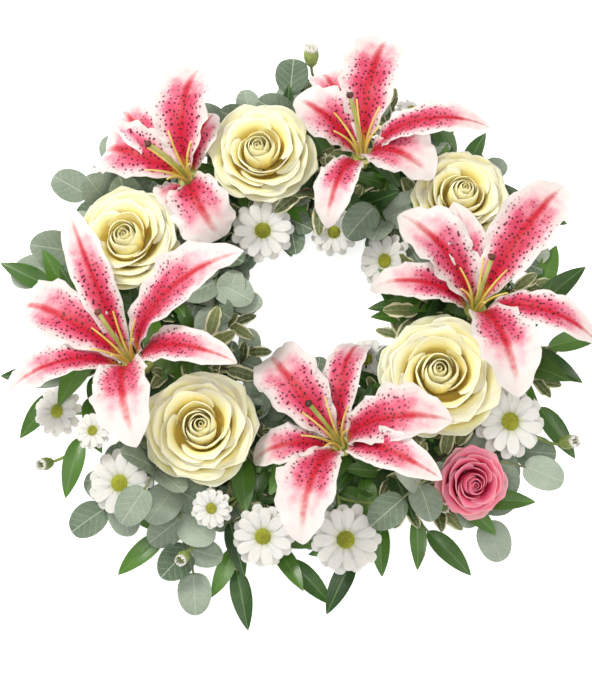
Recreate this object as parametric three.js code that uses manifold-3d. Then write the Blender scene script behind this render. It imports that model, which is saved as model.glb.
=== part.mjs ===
// A funeral wreath lying on its back: a ring tray holding wet floral foam and, stuck into the foam by their
// stems, five pink and white lilies, five cream roses, one small pink rose, sprays of white daisy
// chrysanthemums, and cut eucalyptus, ruscus and variegated pittosporum.
// Millimetres, +Z up. The pieces are laid out about the centre of the tray, and at the end the whole wreath is
// moved so that the origin is on the floor under the middle of its outline.
import * as THREE from "three";
import { mergeVertices } from "three/addons/utils/BufferGeometryUtils.js";
import Module from "manifold-3d";

const wasm = await Module();
wasm.setup();

// Driving dimensions
const ringRadius = 115; // centre line of the ring
const foamHalfWidth = 32;
const foamFloor = 2.3;
const foamTop = 50;
const foamShoulder = 12; // rounding of the foam's top edges
const trayWall = 2;
const trayHeight = 22;
const ringSegments = 24;
// Points closer than this are made one, at the first of these distances that leaves the body closed.
const mergeTries = [0.1, 0.07, 0.05, 0.03, 0.02, 0.01, 0.005, 0.002];
const seatGap = 0.3; // clearance of each stem in its hole, and of each bloom on its stem
const rootDepth = 14; // height of the lower end of each stem in the foam
const rootSpacing = 3.4; // least angle between two stems round the ring, degrees
const stemRadius = { lily: 3.2, rose: 3, daisy: 1.5, leafy: 1.5 };
const holeBox = { x: [-34, 26], y: [-22, 31], z: [-8, 170] }; // the open space left clear in the middle

const up = new THREE.Vector3(0, 0, 1);
const radians = THREE.MathUtils.degToRad;
const vec = (x, y, z) => new THREE.Vector3(x, y, z);

// A repeatable number from 0 to 1 for three whole numbers.
function draw(a, b, c) {
  const x = Math.sin(a * 12.9898 + b * 78.233 + c * 37.719 + 4.137) * 4375.8545;
  return x - Math.floor(x);
}

// A solid from a closed surface, its nearly equal points made one.
function solidOf(geometry, tolerance = 1e-3) {
  const bare = new THREE.BufferGeometry().setAttribute("position", geometry.getAttribute("position"));
  bare.setIndex(geometry.index);
  const merged = mergeVertices(bare, tolerance);
  const corners = merged.index.array;
  const kept = [];
  for (let i = 0; i < corners.length; i += 3) {
    const [a, b, c] = [corners[i], corners[i + 1], corners[i + 2]];
    if (a !== b && b !== c && c !== a) kept.push(a, b, c);
  }
  return new wasm.Manifold(
    new wasm.Mesh({
      numProp: 3,
      vertProperties: merged.attributes.position.array,
      triVerts: new Uint32Array(kept),
    }),
  );
}

function geometryOf(solid) {
  const mesh = solid.getMesh();
  return new THREE.BufferGeometry()
    .setAttribute("position", new THREE.BufferAttribute(mesh.vertProperties, 3))
    .setIndex(new THREE.BufferAttribute(mesh.triVerts, 1));
}

// Whether each edge has one face on either side of it, with no two points in one place.
function isPlain(solid) {
  const { vertProperties: at, triVerts } = solid.getMesh();
  const place = (v) => [0, 1, 2].map((k) => at[3 * v + k].toFixed(3)).join();
  const used = new Set();
  for (let i = 0; i < triVerts.length; i++) {
    const next = i % 3 === 2 ? i - 2 : i + 1;
    const edge = `${place(triVerts[i])} ${place(triVerts[next])}`;
    if (used.has(edge) || place(triVerts[i]) === place(triVerts[next])) return false;
    used.add(edge);
  }
  return true;
}

// The outside of the largest body: loose scraps are dropped, sealed hollows filled and the shortest edges closed up.
function wholeOf(solid) {
  const body = solid.decompose().sort((a, b) => b.volume() - a.volume())[0];
  for (const tolerance of mergeTries) {
    try {
      const merged = solidOf(geometryOf(body), tolerance);
      if (merged.decompose().length === 1 && isPlain(merged)) return merged;
    } catch {
      continue;
    }
  }
  return body;
}

const fused = (solids) => solids.reduce((sum, next) => sum.add(next));

// A thin solid on a grid of points, thick in the middle and closed to an edge all round.
function shell(grid, thickness) {
  const rows = grid.length;
  const columns = grid[0].length;
  const faces = { top: [], under: [] };
  const positions = [];
  grid.forEach((row, i) => {
    row.forEach((point, j) => {
      const onEdge = i === 0 || j === 0 || i === rows - 1 || j === columns - 1;
      const along = grid[Math.min(i + 1, rows - 1)][j].clone().sub(grid[Math.max(i - 1, 0)][j]);
      const across = row[Math.min(j + 1, columns - 1)].clone().sub(row[Math.max(j - 1, 0)]);
      const normal = along.cross(across).normalize();
      const half = onEdge ? 0 : thickness / 2;
      for (const side of [1, -1]) {
        faces[side > 0 ? "top" : "under"].push(positions.length / 3);
        positions.push(...point.clone().addScaledVector(normal, side * half).toArray());
      }
    });
  });
  const index = [];
  for (let i = 0; i < rows - 1; i++) {
    for (let j = 0; j < columns - 1; j++) {
      const corner = [i * columns + j, (i + 1) * columns + j, (i + 1) * columns + j + 1, i * columns + j + 1];
      const [a, b, c, d] = corner.map((k) => faces.top[k]);
      const [e, f, g, h] = corner.map((k) => faces.under[k]);
      index.push(a, b, d, b, c, d, e, h, f, f, h, g);
    }
  }
  const geometry = new THREE.BufferGeometry();
  geometry.setAttribute("position", new THREE.Float32BufferAttribute(positions, 3));
  geometry.setIndex(index);
  return solidOf(geometry);
}

// A closed rod of a few flat sides through some points, its first side facing the same way for the same first step.
function rod(points, radius, sides) {
  const last = points.length - 1;
  const positions = [];
  const index = [];
  let across = vec(0.31, 0.17, 0.94);
  points.forEach((point, i) => {
    const along = points[Math.min(i + 1, last)].clone().sub(points[Math.max(i - 1, 0)]).normalize();
    across = across.clone().addScaledVector(along, -across.dot(along)).normalize();
    const third = along.clone().cross(across);
    for (let k = 0; k < sides; k++) {
      const turn = (2 * Math.PI * k) / sides;
      const spot = point.clone().addScaledVector(across, radius * Math.cos(turn));
      positions.push(...spot.addScaledVector(third, radius * Math.sin(turn)).toArray());
      const [a, b] = [i * sides + k, i * sides + ((k + 1) % sides)];
      if (i < last) index.push(a, b, a + sides, b, b + sides, a + sides);
      if (i === 0 && k > 1) index.push(0, k, k - 1, last * sides, last * sides + k - 1, last * sides + k);
    }
  });
  const geometry = new THREE.BufferGeometry();
  geometry.setAttribute("position", new THREE.Float32BufferAttribute(positions, 3));
  geometry.setIndex(index);
  return solidOf(geometry);
}

// A turned shape standing on an axis: the outline is [radius, height] pairs.
function turned(outline, segments, origin, axis) {
  const geometry = new THREE.LatheGeometry(outline.map(([r, h]) => new THREE.Vector2(r, h)), segments);
  geometry.applyQuaternion(new THREE.Quaternion().setFromUnitVectors(vec(0, 1, 0), axis));
  return solidOf(geometry.translate(origin.x, origin.y, origin.z));
}

// A leaf or a petal. The middle line of a blade is an arc that leaves at the angle start and ends at the angle
// end, from the direction along towards up. Its half width goes as s^rise (1-s)^fall, and its sides are lifted
// by a cup and a wave.
function bladeGrid(frame, blade, rows, columns) {
  const side = frame.up.clone().cross(frame.along);
  const [start, turn] = [radians(blade.start), radians(blade.end - blade.start)];
  const widest = blade.rise / (blade.rise + blade.fall);
  const peak = widest ** blade.rise * (1 - widest) ** blade.fall;
  const grid = [];
  for (let i = 0; i <= rows; i++) {
    const s = (1 - Math.cos((Math.PI * i) / rows)) / 2;
    const angle = start + turn * s;
    const centre = frame.origin
      .clone()
      .addScaledVector(frame.along, (blade.length * (Math.sin(angle) - Math.sin(start))) / turn)
      .addScaledVector(frame.up, (blade.length * (Math.cos(start) - Math.cos(angle))) / turn);
    const back = frame.along.clone().multiplyScalar(-Math.sin(angle));
    const normal = back.addScaledVector(frame.up, Math.cos(angle));
    const half = ((blade.width / 2) * s ** blade.rise * (1 - s) ** blade.fall) / peak;
    const row = [];
    for (let j = 0; j <= columns; j++) {
      const t = (2 * j) / columns - 1;
      const ripple = blade.wave * Math.sin(Math.PI * s) * Math.sin(2 * Math.PI * (blade.waves * s + blade.phase) + t);
      const lift = (blade.cup * half + ripple) * t * t;
      row.push(centre.clone().addScaledVector(side, t * half).addScaledVector(normal, lift));
    }
    grid.push(row);
  }
  return grid;
}

// A petal of a rose. From the heart to the lip it follows a cubic in the bloom's radius and height, and it is
// wide enough for one of its sides to lie inside the next petal.
function cupGrid(frame, petal, rows, columns) {
  const grid = [];
  for (let i = 0; i <= rows; i++) {
    const row = [];
    for (let j = 0; j <= columns; j++) {
      const t = (2 * j) / columns - 1;
      const s = (i / rows) * (1 - 0.16 * Math.abs(t) ** 3);
      const [a, b, c, d] = [(1 - s) ** 3, 3 * s * (1 - s) ** 2, 3 * s * s * (1 - s), s ** 3];
      const profile = a * 3 + b * petal.belly * 1.2 + c * petal.neck + d * petal.lip;
      const radius = profile + petal.spiral * t * Math.sqrt(s);
      const height = (a + b) * petal.base + c * 0.78 * petal.height + d * (petal.height - petal.roll * t * t);
      const outward = spoke(frame, petal.heading + t * petal.halfAngle * (1 - (1 - s) ** 3));
      row.push(frame.origin.clone().addScaledVector(outward, radius).addScaledVector(frame.axis, height));
    }
    grid.push(row);
  }
  return grid;
}

// The axes of a bloom that leans by so much sideways for one unit of height.
function bloomFrame({ x, y, z, lean = [0, 0] }) {
  const axis = vec(lean[0], lean[1], 1).normalize();
  const across = vec(1, 0, 0).addScaledVector(axis, -axis.x).normalize();
  return { origin: vec(x, y, z), axis, x: across, y: axis.clone().cross(across) };
}

// The direction square to a bloom's axis at an angle in degrees.
function spoke(frame, heading) {
  const turn = radians(heading);
  return frame.x.clone().multiplyScalar(Math.cos(turn)).addScaledVector(frame.y, Math.sin(turn));
}

// A ring with the given cross-section, its radii measured from the ring's centre line.
function ringBody(outline) {
  const points = [...outline, outline[0]].map(([r, h]) => new THREE.Vector2(ringRadius + r, h));
  return solidOf(new THREE.LatheGeometry(points, ringSegments).rotateX(Math.PI / 2));
}

function makeTray() {
  const [inside, outside] = [foamHalfWidth + seatGap, foamHalfWidth + seatGap + trayWall];
  return ringBody([
    [-outside, 0],
    [outside, 0],
    [outside, trayHeight],
    [inside, trayHeight],
    [inside, trayWall],
    [-inside, trayWall],
    [-inside, trayHeight],
    [-outside, trayHeight],
  ]);
}

function makeFoam() {
  return ringBody([
    [-foamHalfWidth, foamFloor],
    [foamHalfWidth, foamFloor],
    [foamHalfWidth, foamTop - foamShoulder],
    [foamHalfWidth - foamShoulder, foamTop],
    [foamShoulder - foamHalfWidth, foamTop],
    [-foamHalfWidth, foamTop - foamShoulder],
  ]);
}

// Stems. The foam gets one hole for each, made after all of them are in place.
const rootAngles = [];
const foamHoles = [];

// A place of its own on the ring for a stem, as near as can be to the angle asked for.
function freeAngle(wanted) {
  const gap = (a, b) => Math.abs(((((a - b) % 360) + 540) % 360) - 180);
  for (let step = 0; ; step++) {
    const angle = wanted + (step % 2 ? 0.5 : -0.5) * step;
    if (rootAngles.every((used) => gap(used, angle) >= rootSpacing)) {
      rootAngles.push(angle);
      return angle;
    }
  }
}

// Where a stem stands in the foam. It leans outwards from the ring's centre line, or inwards where lean is negative.
function rootOf(wanted, lean, radius) {
  const turn = radians(freeAngle(wanted));
  const tilt = radians(lean);
  const outward = vec(Math.cos(turn), Math.sin(turn), 0);
  const toward = outward.clone().multiplyScalar(Math.sin(tilt)).addScaledVector(up, Math.cos(tilt));
  const foot = outward.clone().multiplyScalar(ringRadius);
  foot.z = rootDepth + 16 * Math.abs(Math.sin(tilt));
  const wayUp = (foamTop - foot.z) / Math.cos(tilt);
  const wayOut = foamHalfWidth / Math.max(Math.abs(Math.sin(tilt)), 0.01);
  const mouth = foot.clone().addScaledVector(toward, Math.min(wayUp, wayOut) + 2.5);
  const sides = radius > 3 ? 5 : radius > 2 ? 4 : 3;
  const holeEnds = [foot.clone().addScaledVector(toward, -seatGap), mouth.clone().addScaledVector(toward, 10)];
  foamHoles.push(rod(holeEnds, radius + seatGap * (sides > 3 ? 1.3 : 2), sides));
  return { foot, mouth, toward, radius, sides };
}

// The curve from a stem's mouth to a bloom or a tip, arriving in a given direction.
function stemCurve(root, end, arriving, slack = 0.35) {
  const reach = root.mouth.distanceTo(end) * slack;
  const leaving = end.clone().sub(root.mouth).normalize().add(root.toward).normalize();
  return new THREE.CubicBezierCurve3(
    root.mouth.clone(),
    root.mouth.clone().addScaledVector(leaving, reach),
    end.clone().addScaledVector(arriving, -reach),
    end.clone(),
  );
}

// What is already in place, and whether a new piece is clear of it.
const placed = [];

function place(name, solid) {
  placed.push({ name, solid, box: solid.boundingBox() });
}

function boxesMeet(a, b) {
  return [0, 1, 2].every((k) => a.min[k] < b.max[k] && b.min[k] < a.max[k]);
}

function isClear(solid, but = []) {
  const box = solid.boundingBox();
  if (box.min[2] < 2) return false;
  return placed.every(
    (other) =>
      but.includes(other.name) || !boxesMeet(box, other.box) || other.solid.intersect(solid).volume() < 1e-6,
  );
}

// The stem in its hole, on along its curve and then straight to its end.
const wholeStem = (root, curve, steps, ...end) =>
  rod([root.foot, ...curve.getPoints(steps), ...end], root.radius, root.sides);

// The three layers of a rose's petals from the heart outwards, in millimetres and degrees.
const roseLayers = [
  { count: 3, halfAngle: 76, base: 6, belly: 11, neck: 12.5, lip: 10.5, height: 43, roll: 0, spiral: 1.6, turn: 10 },
  { count: 4, halfAngle: 60, base: 3.5, belly: 18, neck: 21, lip: 24, height: 42, roll: 2.5, spiral: 2.6, turn: 40 },
  { count: 5, halfAngle: 50, base: 1, belly: 26, neck: 31, lip: 38.5, height: 34, roll: 5, spiral: 2.8, turn: 12 },
];

function roseBloom(frame, scale, seed, close) {
  const heart = [[0, 0], [5, 0], [8, 9], [7, 28], [4, 39], [0, 41]];
  const solids = [turned(heart.map(([r, h]) => [r * scale * close, h * scale]), 5, frame.origin, frame.axis)];
  roseLayers.forEach((layer, n) => {
    for (let k = 0; k < layer.count; k++) {
      const petal = {
        heading: layer.turn + (360 * k) / layer.count + 8 * (draw(seed, n, k) - 0.5),
        halfAngle: layer.halfAngle,
        base: layer.base * scale,
        belly: layer.belly * scale * close,
        neck: layer.neck * scale * close,
        lip: layer.lip * scale * close * (0.97 + 0.06 * draw(seed, n, k + 20)),
        height: layer.height * scale,
        roll: layer.roll * scale,
        spiral: layer.spiral * scale,
      };
      solids.push(shell(cupGrid(frame, petal, 3, n ? 2 : 3), 1.8));
    }
  });
  return wholeOf(fused(solids));
}

// A rose's stem with the five sepals under its bloom.
function roseStem(root, frame, scale, seed) {
  const top = frame.origin.clone().addScaledVector(frame.axis, -seatGap);
  const under = top.clone().addScaledVector(frame.axis, -3);
  const solids = [wholeStem(root, stemCurve(root, under, frame.axis), 2, top)];
  for (let k = 0; k < 5; k++) {
    const outward = spoke(frame, 72 * k + 30 * draw(seed, 7, 0));
    const origin = top.clone().addScaledVector(frame.axis, -3);
    const sepal = { length: 22 * scale, width: 7 * scale, start: 5, end: -22, rise: 0.4, fall: 0.9 };
    Object.assign(sepal, { cup: 0.15, wave: 0, waves: 0, phase: 0 });
    solids.push(shell(bladeGrid({ origin, along: outward, up: frame.axis }, sepal, 2, 2), 1.4));
  }
  return wholeOf(fused(solids));
}

const lilyThroat = 12; // angle of the tepals to a lily's axis where they leave the throat, degrees

// What is tried in turn for a tepal that meets something: a change of its curl in degrees, and of its reach.
const tepalTries = [
  [0, 1],
  [-25, 1],
  [-50, 1],
  [25, 0.95],
  [-35, 0.85],
  [-60, 0.85],
  [-75, 0.9],
  [-80, 0.7],
  [-90, 0.55],
];

// The tepal for one try. Its length and curl come from its reach seen from above; odd ones are the wide ones.
function tepalOf(frame, lily, k, attempt) {
  const [curlChange, shrink] = tepalTries[attempt];
  const wide = k % 2 === 1;
  const reach = lily.reach[k] * shrink;
  const curl = Math.max(118 + (104 - lily.reach[k]) * 1.2 + curlChange, 40);
  const arc = radians(curl - lilyThroat);
  const outward = spoke(frame, lily.headings[k]);
  return {
    frame: {
      origin: frame.origin
        .clone()
        .addScaledVector(outward, wide ? 5 : 6.6)
        .addScaledVector(frame.axis, wide ? 1.5 : 0.5),
      along: frame.axis,
      up: outward.clone().negate(),
    },
    blade: {
      length: (reach * arc) / (Math.cos(radians(lilyThroat)) - Math.cos(radians(curl))),
      width: wide ? 46 : 31,
      start: -lilyThroat,
      end: -curl,
      rise: wide ? 1.25 : 1.1,
      fall: wide ? 0.85 : 0.8,
      cup: 0.3,
      wave: wide ? 3.2 : 1.6,
      waves: 2.2,
      phase: draw(lily.seed, k, 3),
    },
  };
}

// The green stem, the long style with its stigma, and the six bare filaments round it.
function lilyStem(root, frame, lily) {
  const { origin, axis } = frame;
  const throat = origin.clone().addScaledVector(axis, 6);
  const nectary = [[0, -2], [2.7, -2], [2.7, 4], [4.3, 4.6], [4, 6.5], [0, 6.5]];
  const sideways = spoke(frame, lily.styleHeading);
  const tip = origin.clone().addScaledVector(axis, 62).addScaledVector(sideways, 10);
  const bend = origin.clone().addScaledVector(axis, 36).addScaledVector(sideways, -2);
  const under = origin.clone().addScaledVector(axis, -6);
  const solids = [
    wholeStem(root, stemCurve(root, under, axis), 2, origin.clone().addScaledVector(axis, -1.4)),
    turned(nectary, 5, origin, axis),
    rod(new THREE.QuadraticBezierCurve3(throat.clone().addScaledVector(axis, -1), bend, tip).getPoints(3), 1.7, 4),
    turned([[0, -1.5], [2.8, 0], [2.6, 2], [0, 3]], 5, tip, tip.clone().sub(bend).normalize()),
  ];
  for (let k = 0; k < 6; k++) {
    const outward = spoke(frame, 60 * k + 30);
    const end = origin.clone().addScaledVector(axis, 44 + 4 * draw(lily.seed, k, 9)).addScaledVector(outward, 20);
    const start = throat.clone().addScaledVector(axis, -1).addScaledVector(outward, 3);
    const middle = origin.clone().addScaledVector(axis, 26).addScaledVector(outward, 5);
    solids.push(rod(new THREE.QuadraticBezierCurve3(start, middle, end).getPoints(2), 1, 3));
  }
  return wholeOf(fused(solids));
}

// The six tepals, each bent until it is clear of what stands next to it, joined at the throat.
function lilyBloom(frame, lily) {
  const { origin, axis } = frame;
  const receptacle = turned([[0, -1], [5.5, -1], [9, 3.5], [0, 3.5]], 6, origin, axis);
  const solids = [receptacle];
  for (let k = 0; k < 6; k++) {
    for (let attempt = 0; attempt < tepalTries.length; attempt++) {
      const tepal = tepalOf(frame, lily, k, attempt);
      const grown = { ...tepal.blade, width: tepal.blade.width + 2.5, length: tepal.blade.length * 1.02 };
      if (isClear(shell(bladeGrid(tepal.frame, grown, 5, 2), 4.5))) {
        solids.push(shell(bladeGrid(tepal.frame, tepal.blade, 5, 2), 2));
        break;
      }
    }
  }
  const boreRadius = stemRadius.lily + seatGap * 1.3;
  const bore = turned([[0, -3], [boreRadius, -3], [boreRadius, 6], [0, 6]], 5, origin, axis);
  return wholeOf(fused(solids).subtract(bore));
}

// Daisies: the number of petals for the radius, and how far a head may be raised to find room.
const daisyPetals = (radius) => (radius > 24 ? 10 : 7);
const headTries = [0, 6, -6, 12, -12, 18, 24, 30];

// The white ring of petals, one closed surface with a hole for the disc's neck.
function daisyRing(frame, radius, seed, thickness, grow) {
  const neck = radius * 0.13 + seatGap;
  const point = (turn, r, height) => {
    const at = spoke(frame, turn).multiplyScalar(r * grow).addScaledVector(frame.axis, height);
    return at.add(frame.origin);
  };
  const positions = [];
  const add = (...points) => points.forEach((p) => positions.push(...p.toArray()));
  const petals = daisyPetals(radius);
  const step = 360 / petals;
  const droop = (r) => 1.2 - 2.6 * (r / radius) ** 2 * radius * 0.05;
  for (let k = 0; k < petals; k++) {
    const turn = k * step;
    const reach = radius * (0.93 + 0.07 * draw(seed, k, 1));
    const sag = radius * 0.1 * (draw(seed, k, 2) - 0.4);
    const skin = (side) => {
      const inner = [0, 1].map((n) => point(turn + n * step, neck, 0.6 * side * thickness));
      const notch = [0, 1].map((n) => point(turn + n * step, radius * 0.3, droop(radius * 0.3)));
      const wide = [0.06, 0.94].map((n) => point(turn + n * step, radius * 0.78, droop(radius * 0.78) - sag * 0.6));
      const tips = [0.3, 0.7].map((n) => point(turn + n * step, reach, droop(reach) - sag));
      const spine = point(turn + step / 2, radius * 0.6, droop(radius * 0.6) - sag * 0.4 + 0.75 * side * thickness);
      const faces = [
        [inner[0], notch[0], spine],
        [inner[0], spine, inner[1]],
        [inner[1], spine, notch[1]],
        [notch[0], wide[0], spine],
        [wide[0], tips[0], spine],
        [tips[0], tips[1], spine],
        [tips[1], wide[1], spine],
        [wide[1], notch[1], spine],
      ];
      faces.forEach(([a, b, c]) => (side > 0 ? add(a, b, c) : add(a, c, b)));
      return inner;
    };
    const above = skin(1);
    const below = skin(-1);
    add(above[0], above[1], below[0], above[1], below[1], below[0]);
  }
  const geometry = new THREE.BufferGeometry();
  geometry.setAttribute("position", new THREE.Float32BufferAttribute(positions, 3));
  return solidOf(geometry);
}

// The green and yellow disc, its neck and the small green cup under the petals.
function daisyDisc(frame, radius) {
  const neck = radius * 0.13;
  const outline = [[0, -5], [neck, -1], [neck, 1], [radius * 0.25, 1.5], [radius * 0.2, 3.6], [0, 4.6]];
  return turned(outline, 5, frame.origin, frame.axis);
}

function daisyFrame(head, attempt) {
  return bloomFrame({ ...head, z: head.z + headTries[attempt] });
}

// A closed or opening bud on its cup.
function daisyBud(frame, size) {
  const outline = [[0, -4], [4.4, 0], [4.2, 8], [2.4, 11], [0, 11.4]];
  return turned(outline.map(([r, h]) => [r * size, h * size]), 6, frame.origin, frame.axis);
}

// One branching stem with its discs and buds. Each head is raised or lowered until it is clear.
function daisySpray(spray, number) {
  const root = rootOf(spray.angle, spray.lean, stemRadius.daisy);
  const green = [];
  const rings = [];
  const own = [];
  [...spray.heads, ...spray.buds].forEach((head, k) => {
    const isBud = k >= spray.heads.length;
    for (let attempt = 0; attempt < headTries.length; attempt++) {
      const frame = daisyFrame(head, attempt);
      const below = frame.origin.clone().addScaledVector(frame.axis, isBud ? -2 : -4.2);
      const curve = stemCurve(root, below, frame.axis);
      const shape = isBud ? daisyBud(frame, head.size) : daisyDisc(frame, head.radius);
      const fat = isBud ? daisyBud(frame, head.size * 1.1) : daisyRing(frame, head.radius, number * 10 + k, 3, 1.04);
      const way = rod(curve.getPoints(3), 1.9, 4);
      if (isClear(fat) && isClear(way) && own.every((o) => o.intersect(fat.add(way)).volume() < 40)) {
        green.push(green.length ? rod(curve.getPoints(3), 1.3, 3) : wholeStem(root, curve, 3), shape);
        own.push(fat);
        if (!isBud) rings.push({ name: head.name, solid: daisyRing(frame, head.radius, number * 10 + k, 1, 1) });
        break;
      }
    }
  });
  rings.forEach((ring) => addPiece(`${ring.name}_petals`, ring.solid, "daisyWhite"));
  addPiece(`${spray.name}_stem`, wholeOf(fused(green)), "daisyGreen");
}

// Cut foliage: the shape of each kind's leaves, whether they sit in pairs, how far apart and how far splayed.
const leafKinds = {
  eucalyptus: {
    ...{ length: 34, width: 27, rise: 0.42, fall: 0.5, cup: 0.12, wave: 0.5, waves: 1 },
    ...{ pairs: true, spacing: 21, splay: 58 },
  },
  ruscus: {
    ...{ length: 50, width: 17, rise: 0.62, fall: 0.95, cup: 0.3, wave: 0.6, waves: 1 },
    ...{ pairs: false, spacing: 17, splay: 40 },
  },
  pittosporum: {
    ...{ length: 27, width: 12, rise: 0.5, fall: 0.6, cup: 0.1, wave: 2, waves: 2 },
    ...{ pairs: false, spacing: 10.5, splay: 52 },
  },
};
const leafTries = 7;

// How far a shoot's tip is moved aside and up, tried in turn until the shoot is clear.
const tipTries = [
  [0, 0],
  [0, 9],
  [0, -8],
  [9, 4],
  [-9, 4],
  [0, 18],
  [16, 10],
  [-16, 10],
  [26, 4],
  [-26, 4],
  [0, 30],
];

// The leaf in one of its tries, on a shoot at the point p where the shoot runs along d.
function leafOf(kind, p, d, number, shoot, leaf, attempt) {
  const seed = number * 10 + shoot;
  const chance = (n) => draw(seed, leaf, attempt * 7 + n);
  const last = leaf === 0;
  const level = up.clone().addScaledVector(d, -up.dot(d)).normalize();
  const side = level.clone().cross(d);
  const round = kind.pairs
    ? (leaf % 2 ? 0 : 180) + (leaf % 4 > 1 ? 35 : -10) + 50 * (chance(0) - 0.5)
    : 137.5 * leaf + 60 * (chance(0) - 0.5);
  const turn = radians(round + attempt * 24);
  const aside = side.clone().multiplyScalar(Math.cos(turn));
  const out = aside.addScaledVector(level, Math.abs(Math.sin(turn)) * 0.8).normalize();
  const splay = radians(last ? 6 : kind.splay + 24 * (chance(1) - 0.5));
  const along = d.clone().multiplyScalar(Math.cos(splay)).addScaledVector(out, Math.sin(splay)).normalize();
  const face = level.clone().addScaledVector(along, -level.dot(along)).normalize();
  const size = (last ? 0.95 : 0.8 + 0.35 * chance(2)) * (attempt > 4 ? 0.75 : 1);
  return {
    frame: { origin: p.clone().addScaledVector(along, last ? -2 : 0), along, up: face },
    blade: {
      ...kind,
      length: kind.length * size,
      width: kind.width * size,
      start: 12,
      end: -4 - 26 * chance(3),
      phase: chance(4),
    },
  };
}

// Where a shoot ends in one of its tries.
function shootEnd(root, shoot, attempt) {
  const [aside, lift] = tipTries[attempt];
  const tip = vec(shoot[0], shoot[1], shoot[2] + lift);
  const way = tip.clone().sub(root.mouth).normalize();
  return tip.addScaledVector(up.clone().cross(way).normalize(), aside);
}

// A branching stem with leaves along each of its shoots; leaf 0 ends the shoot.
function leafySpray(spray, number) {
  const kind = leafKinds[spray.kind];
  const root = rootOf(spray.angle, spray.lean, stemRadius.leafy);
  const solids = [];
  const leaves = [];
  const fits = (leaf) => {
    const fat = { ...leaf.blade, width: leaf.blade.width + 1.6, length: leaf.blade.length + 1.2 };
    const solid = shell(bladeGrid(leaf.frame, fat, 3, 2), 3.2);
    return isClear(solid) && leaves.every((other) => other.intersect(solid).volume() < 1.5) ? solid : null;
  };
  spray.shoots.forEach((shoot, n) => {
    for (let attempt = 0; attempt < tipTries.length; attempt++) {
      const end = shootEnd(root, shoot, attempt);
      const arriving = end.clone().sub(root.mouth).setZ(0).normalize().addScaledVector(up, -0.12).normalize();
      const curve = stemCurve(root, end, arriving, 0.3);
      const last = leafOf(kind, end, arriving, number, n, 0, 0);
      if (!isClear(rod(curve.getPoints(3), 1.9, 4)) || !fits(last)) continue;
      leaves.push(fits(last));
      solids.push(solids.length ? rod(curve.getPoints(3), 1.2, 3) : wholeStem(root, curve, 3));
      solids.push(shell(bladeGrid(last.frame, last.blade, 3, 2), 1.5));
      const spots = Math.floor(curve.getLength() / kind.spacing) * (kind.pairs ? 2 : 1);
      for (let k = 1; k <= spots; k++) {
        const t = kind.pairs ? Math.ceil(k / 2) / (spots / 2 + 0.6) : k / (spots + 0.6);
        for (let again = 0; again < leafTries; again++) {
          const leaf = leafOf(kind, curve.getPoint(1 - t), curve.getTangent(1 - t), number, n, k, again);
          const fat = fits(leaf);
          if (!fat) continue;
          leaves.push(fat);
          solids.push(shell(bladeGrid(leaf.frame, leaf.blade, 3, 2), 1.5));
          break;
        }
      }
      return;
    }
  });
  addPiece(spray.name, wholeOf(fused(solids)), spray.kind);
}

// Where everything stands: x to the right, y up the wreath, z the height of the foot of the bloom.
const roses = [
  { name: "rose_1", x: -41, y: 112, z: 61, lean: [-0.05, 0.1], scale: 0.97 },
  { name: "rose_2", x: -139, y: 43, z: 61, lean: [-0.15, 0.1], scale: 1 },
  { name: "rose_3", x: -86, y: -99, z: 61, lean: [-0.05, -0.05], scale: 1.03 },
  { name: "rose_4", x: 106, y: 77, z: 61, lean: [0.12, 0.1], scale: 0.92 },
  { name: "rose_5", x: 91, y: -60, z: 61, lean: [0.02, -0.02], scale: 1.1 },
];
const pinkRose = { name: "pink_rose", x: 110, y: -132, z: 52, lean: [0.3, -0.35], scale: 0.72 };

const lilies = [
  {
    name: "lily_1", x: -96, y: 97, z: 66, lean: [-0.35, 0.14], styleHeading: 160,
    headings: [62, 80, 130, 156, 244, 296], reach: [46, 80, 74, 68, 46, 50],
  },
  {
    name: "lily_2", x: 35, y: 114, z: 66, lean: [-0.12, 0.42], styleHeading: 110,
    headings: [358, 76, 112, 146, 248, 326], reach: [92, 90, 76, 58, 66, 60],
  },
  {
    name: "lily_3", x: 118, y: -6, z: 66, lean: [0.12, 0.28], styleHeading: 70,
    headings: [338, 54, 108, 136, 174, 288], reach: [88, 102, 74, 80, 74, 84],
  },
  {
    name: "lily_4", x: 19, y: -111, z: 66, lean: [-0.32, 0.24], styleHeading: 135,
    headings: [328, 358, 78, 124, 186, 254], reach: [92, 86, 82, 84, 60, 84],
  },
  {
    name: "lily_5", x: -137, y: -48, z: 64, lean: [-0.35, 0.36], styleHeading: 120,
    headings: [338, 20, 104, 148, 196, 278], reach: [94, 110, 92, 92, 90, 84],
  },
];

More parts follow.
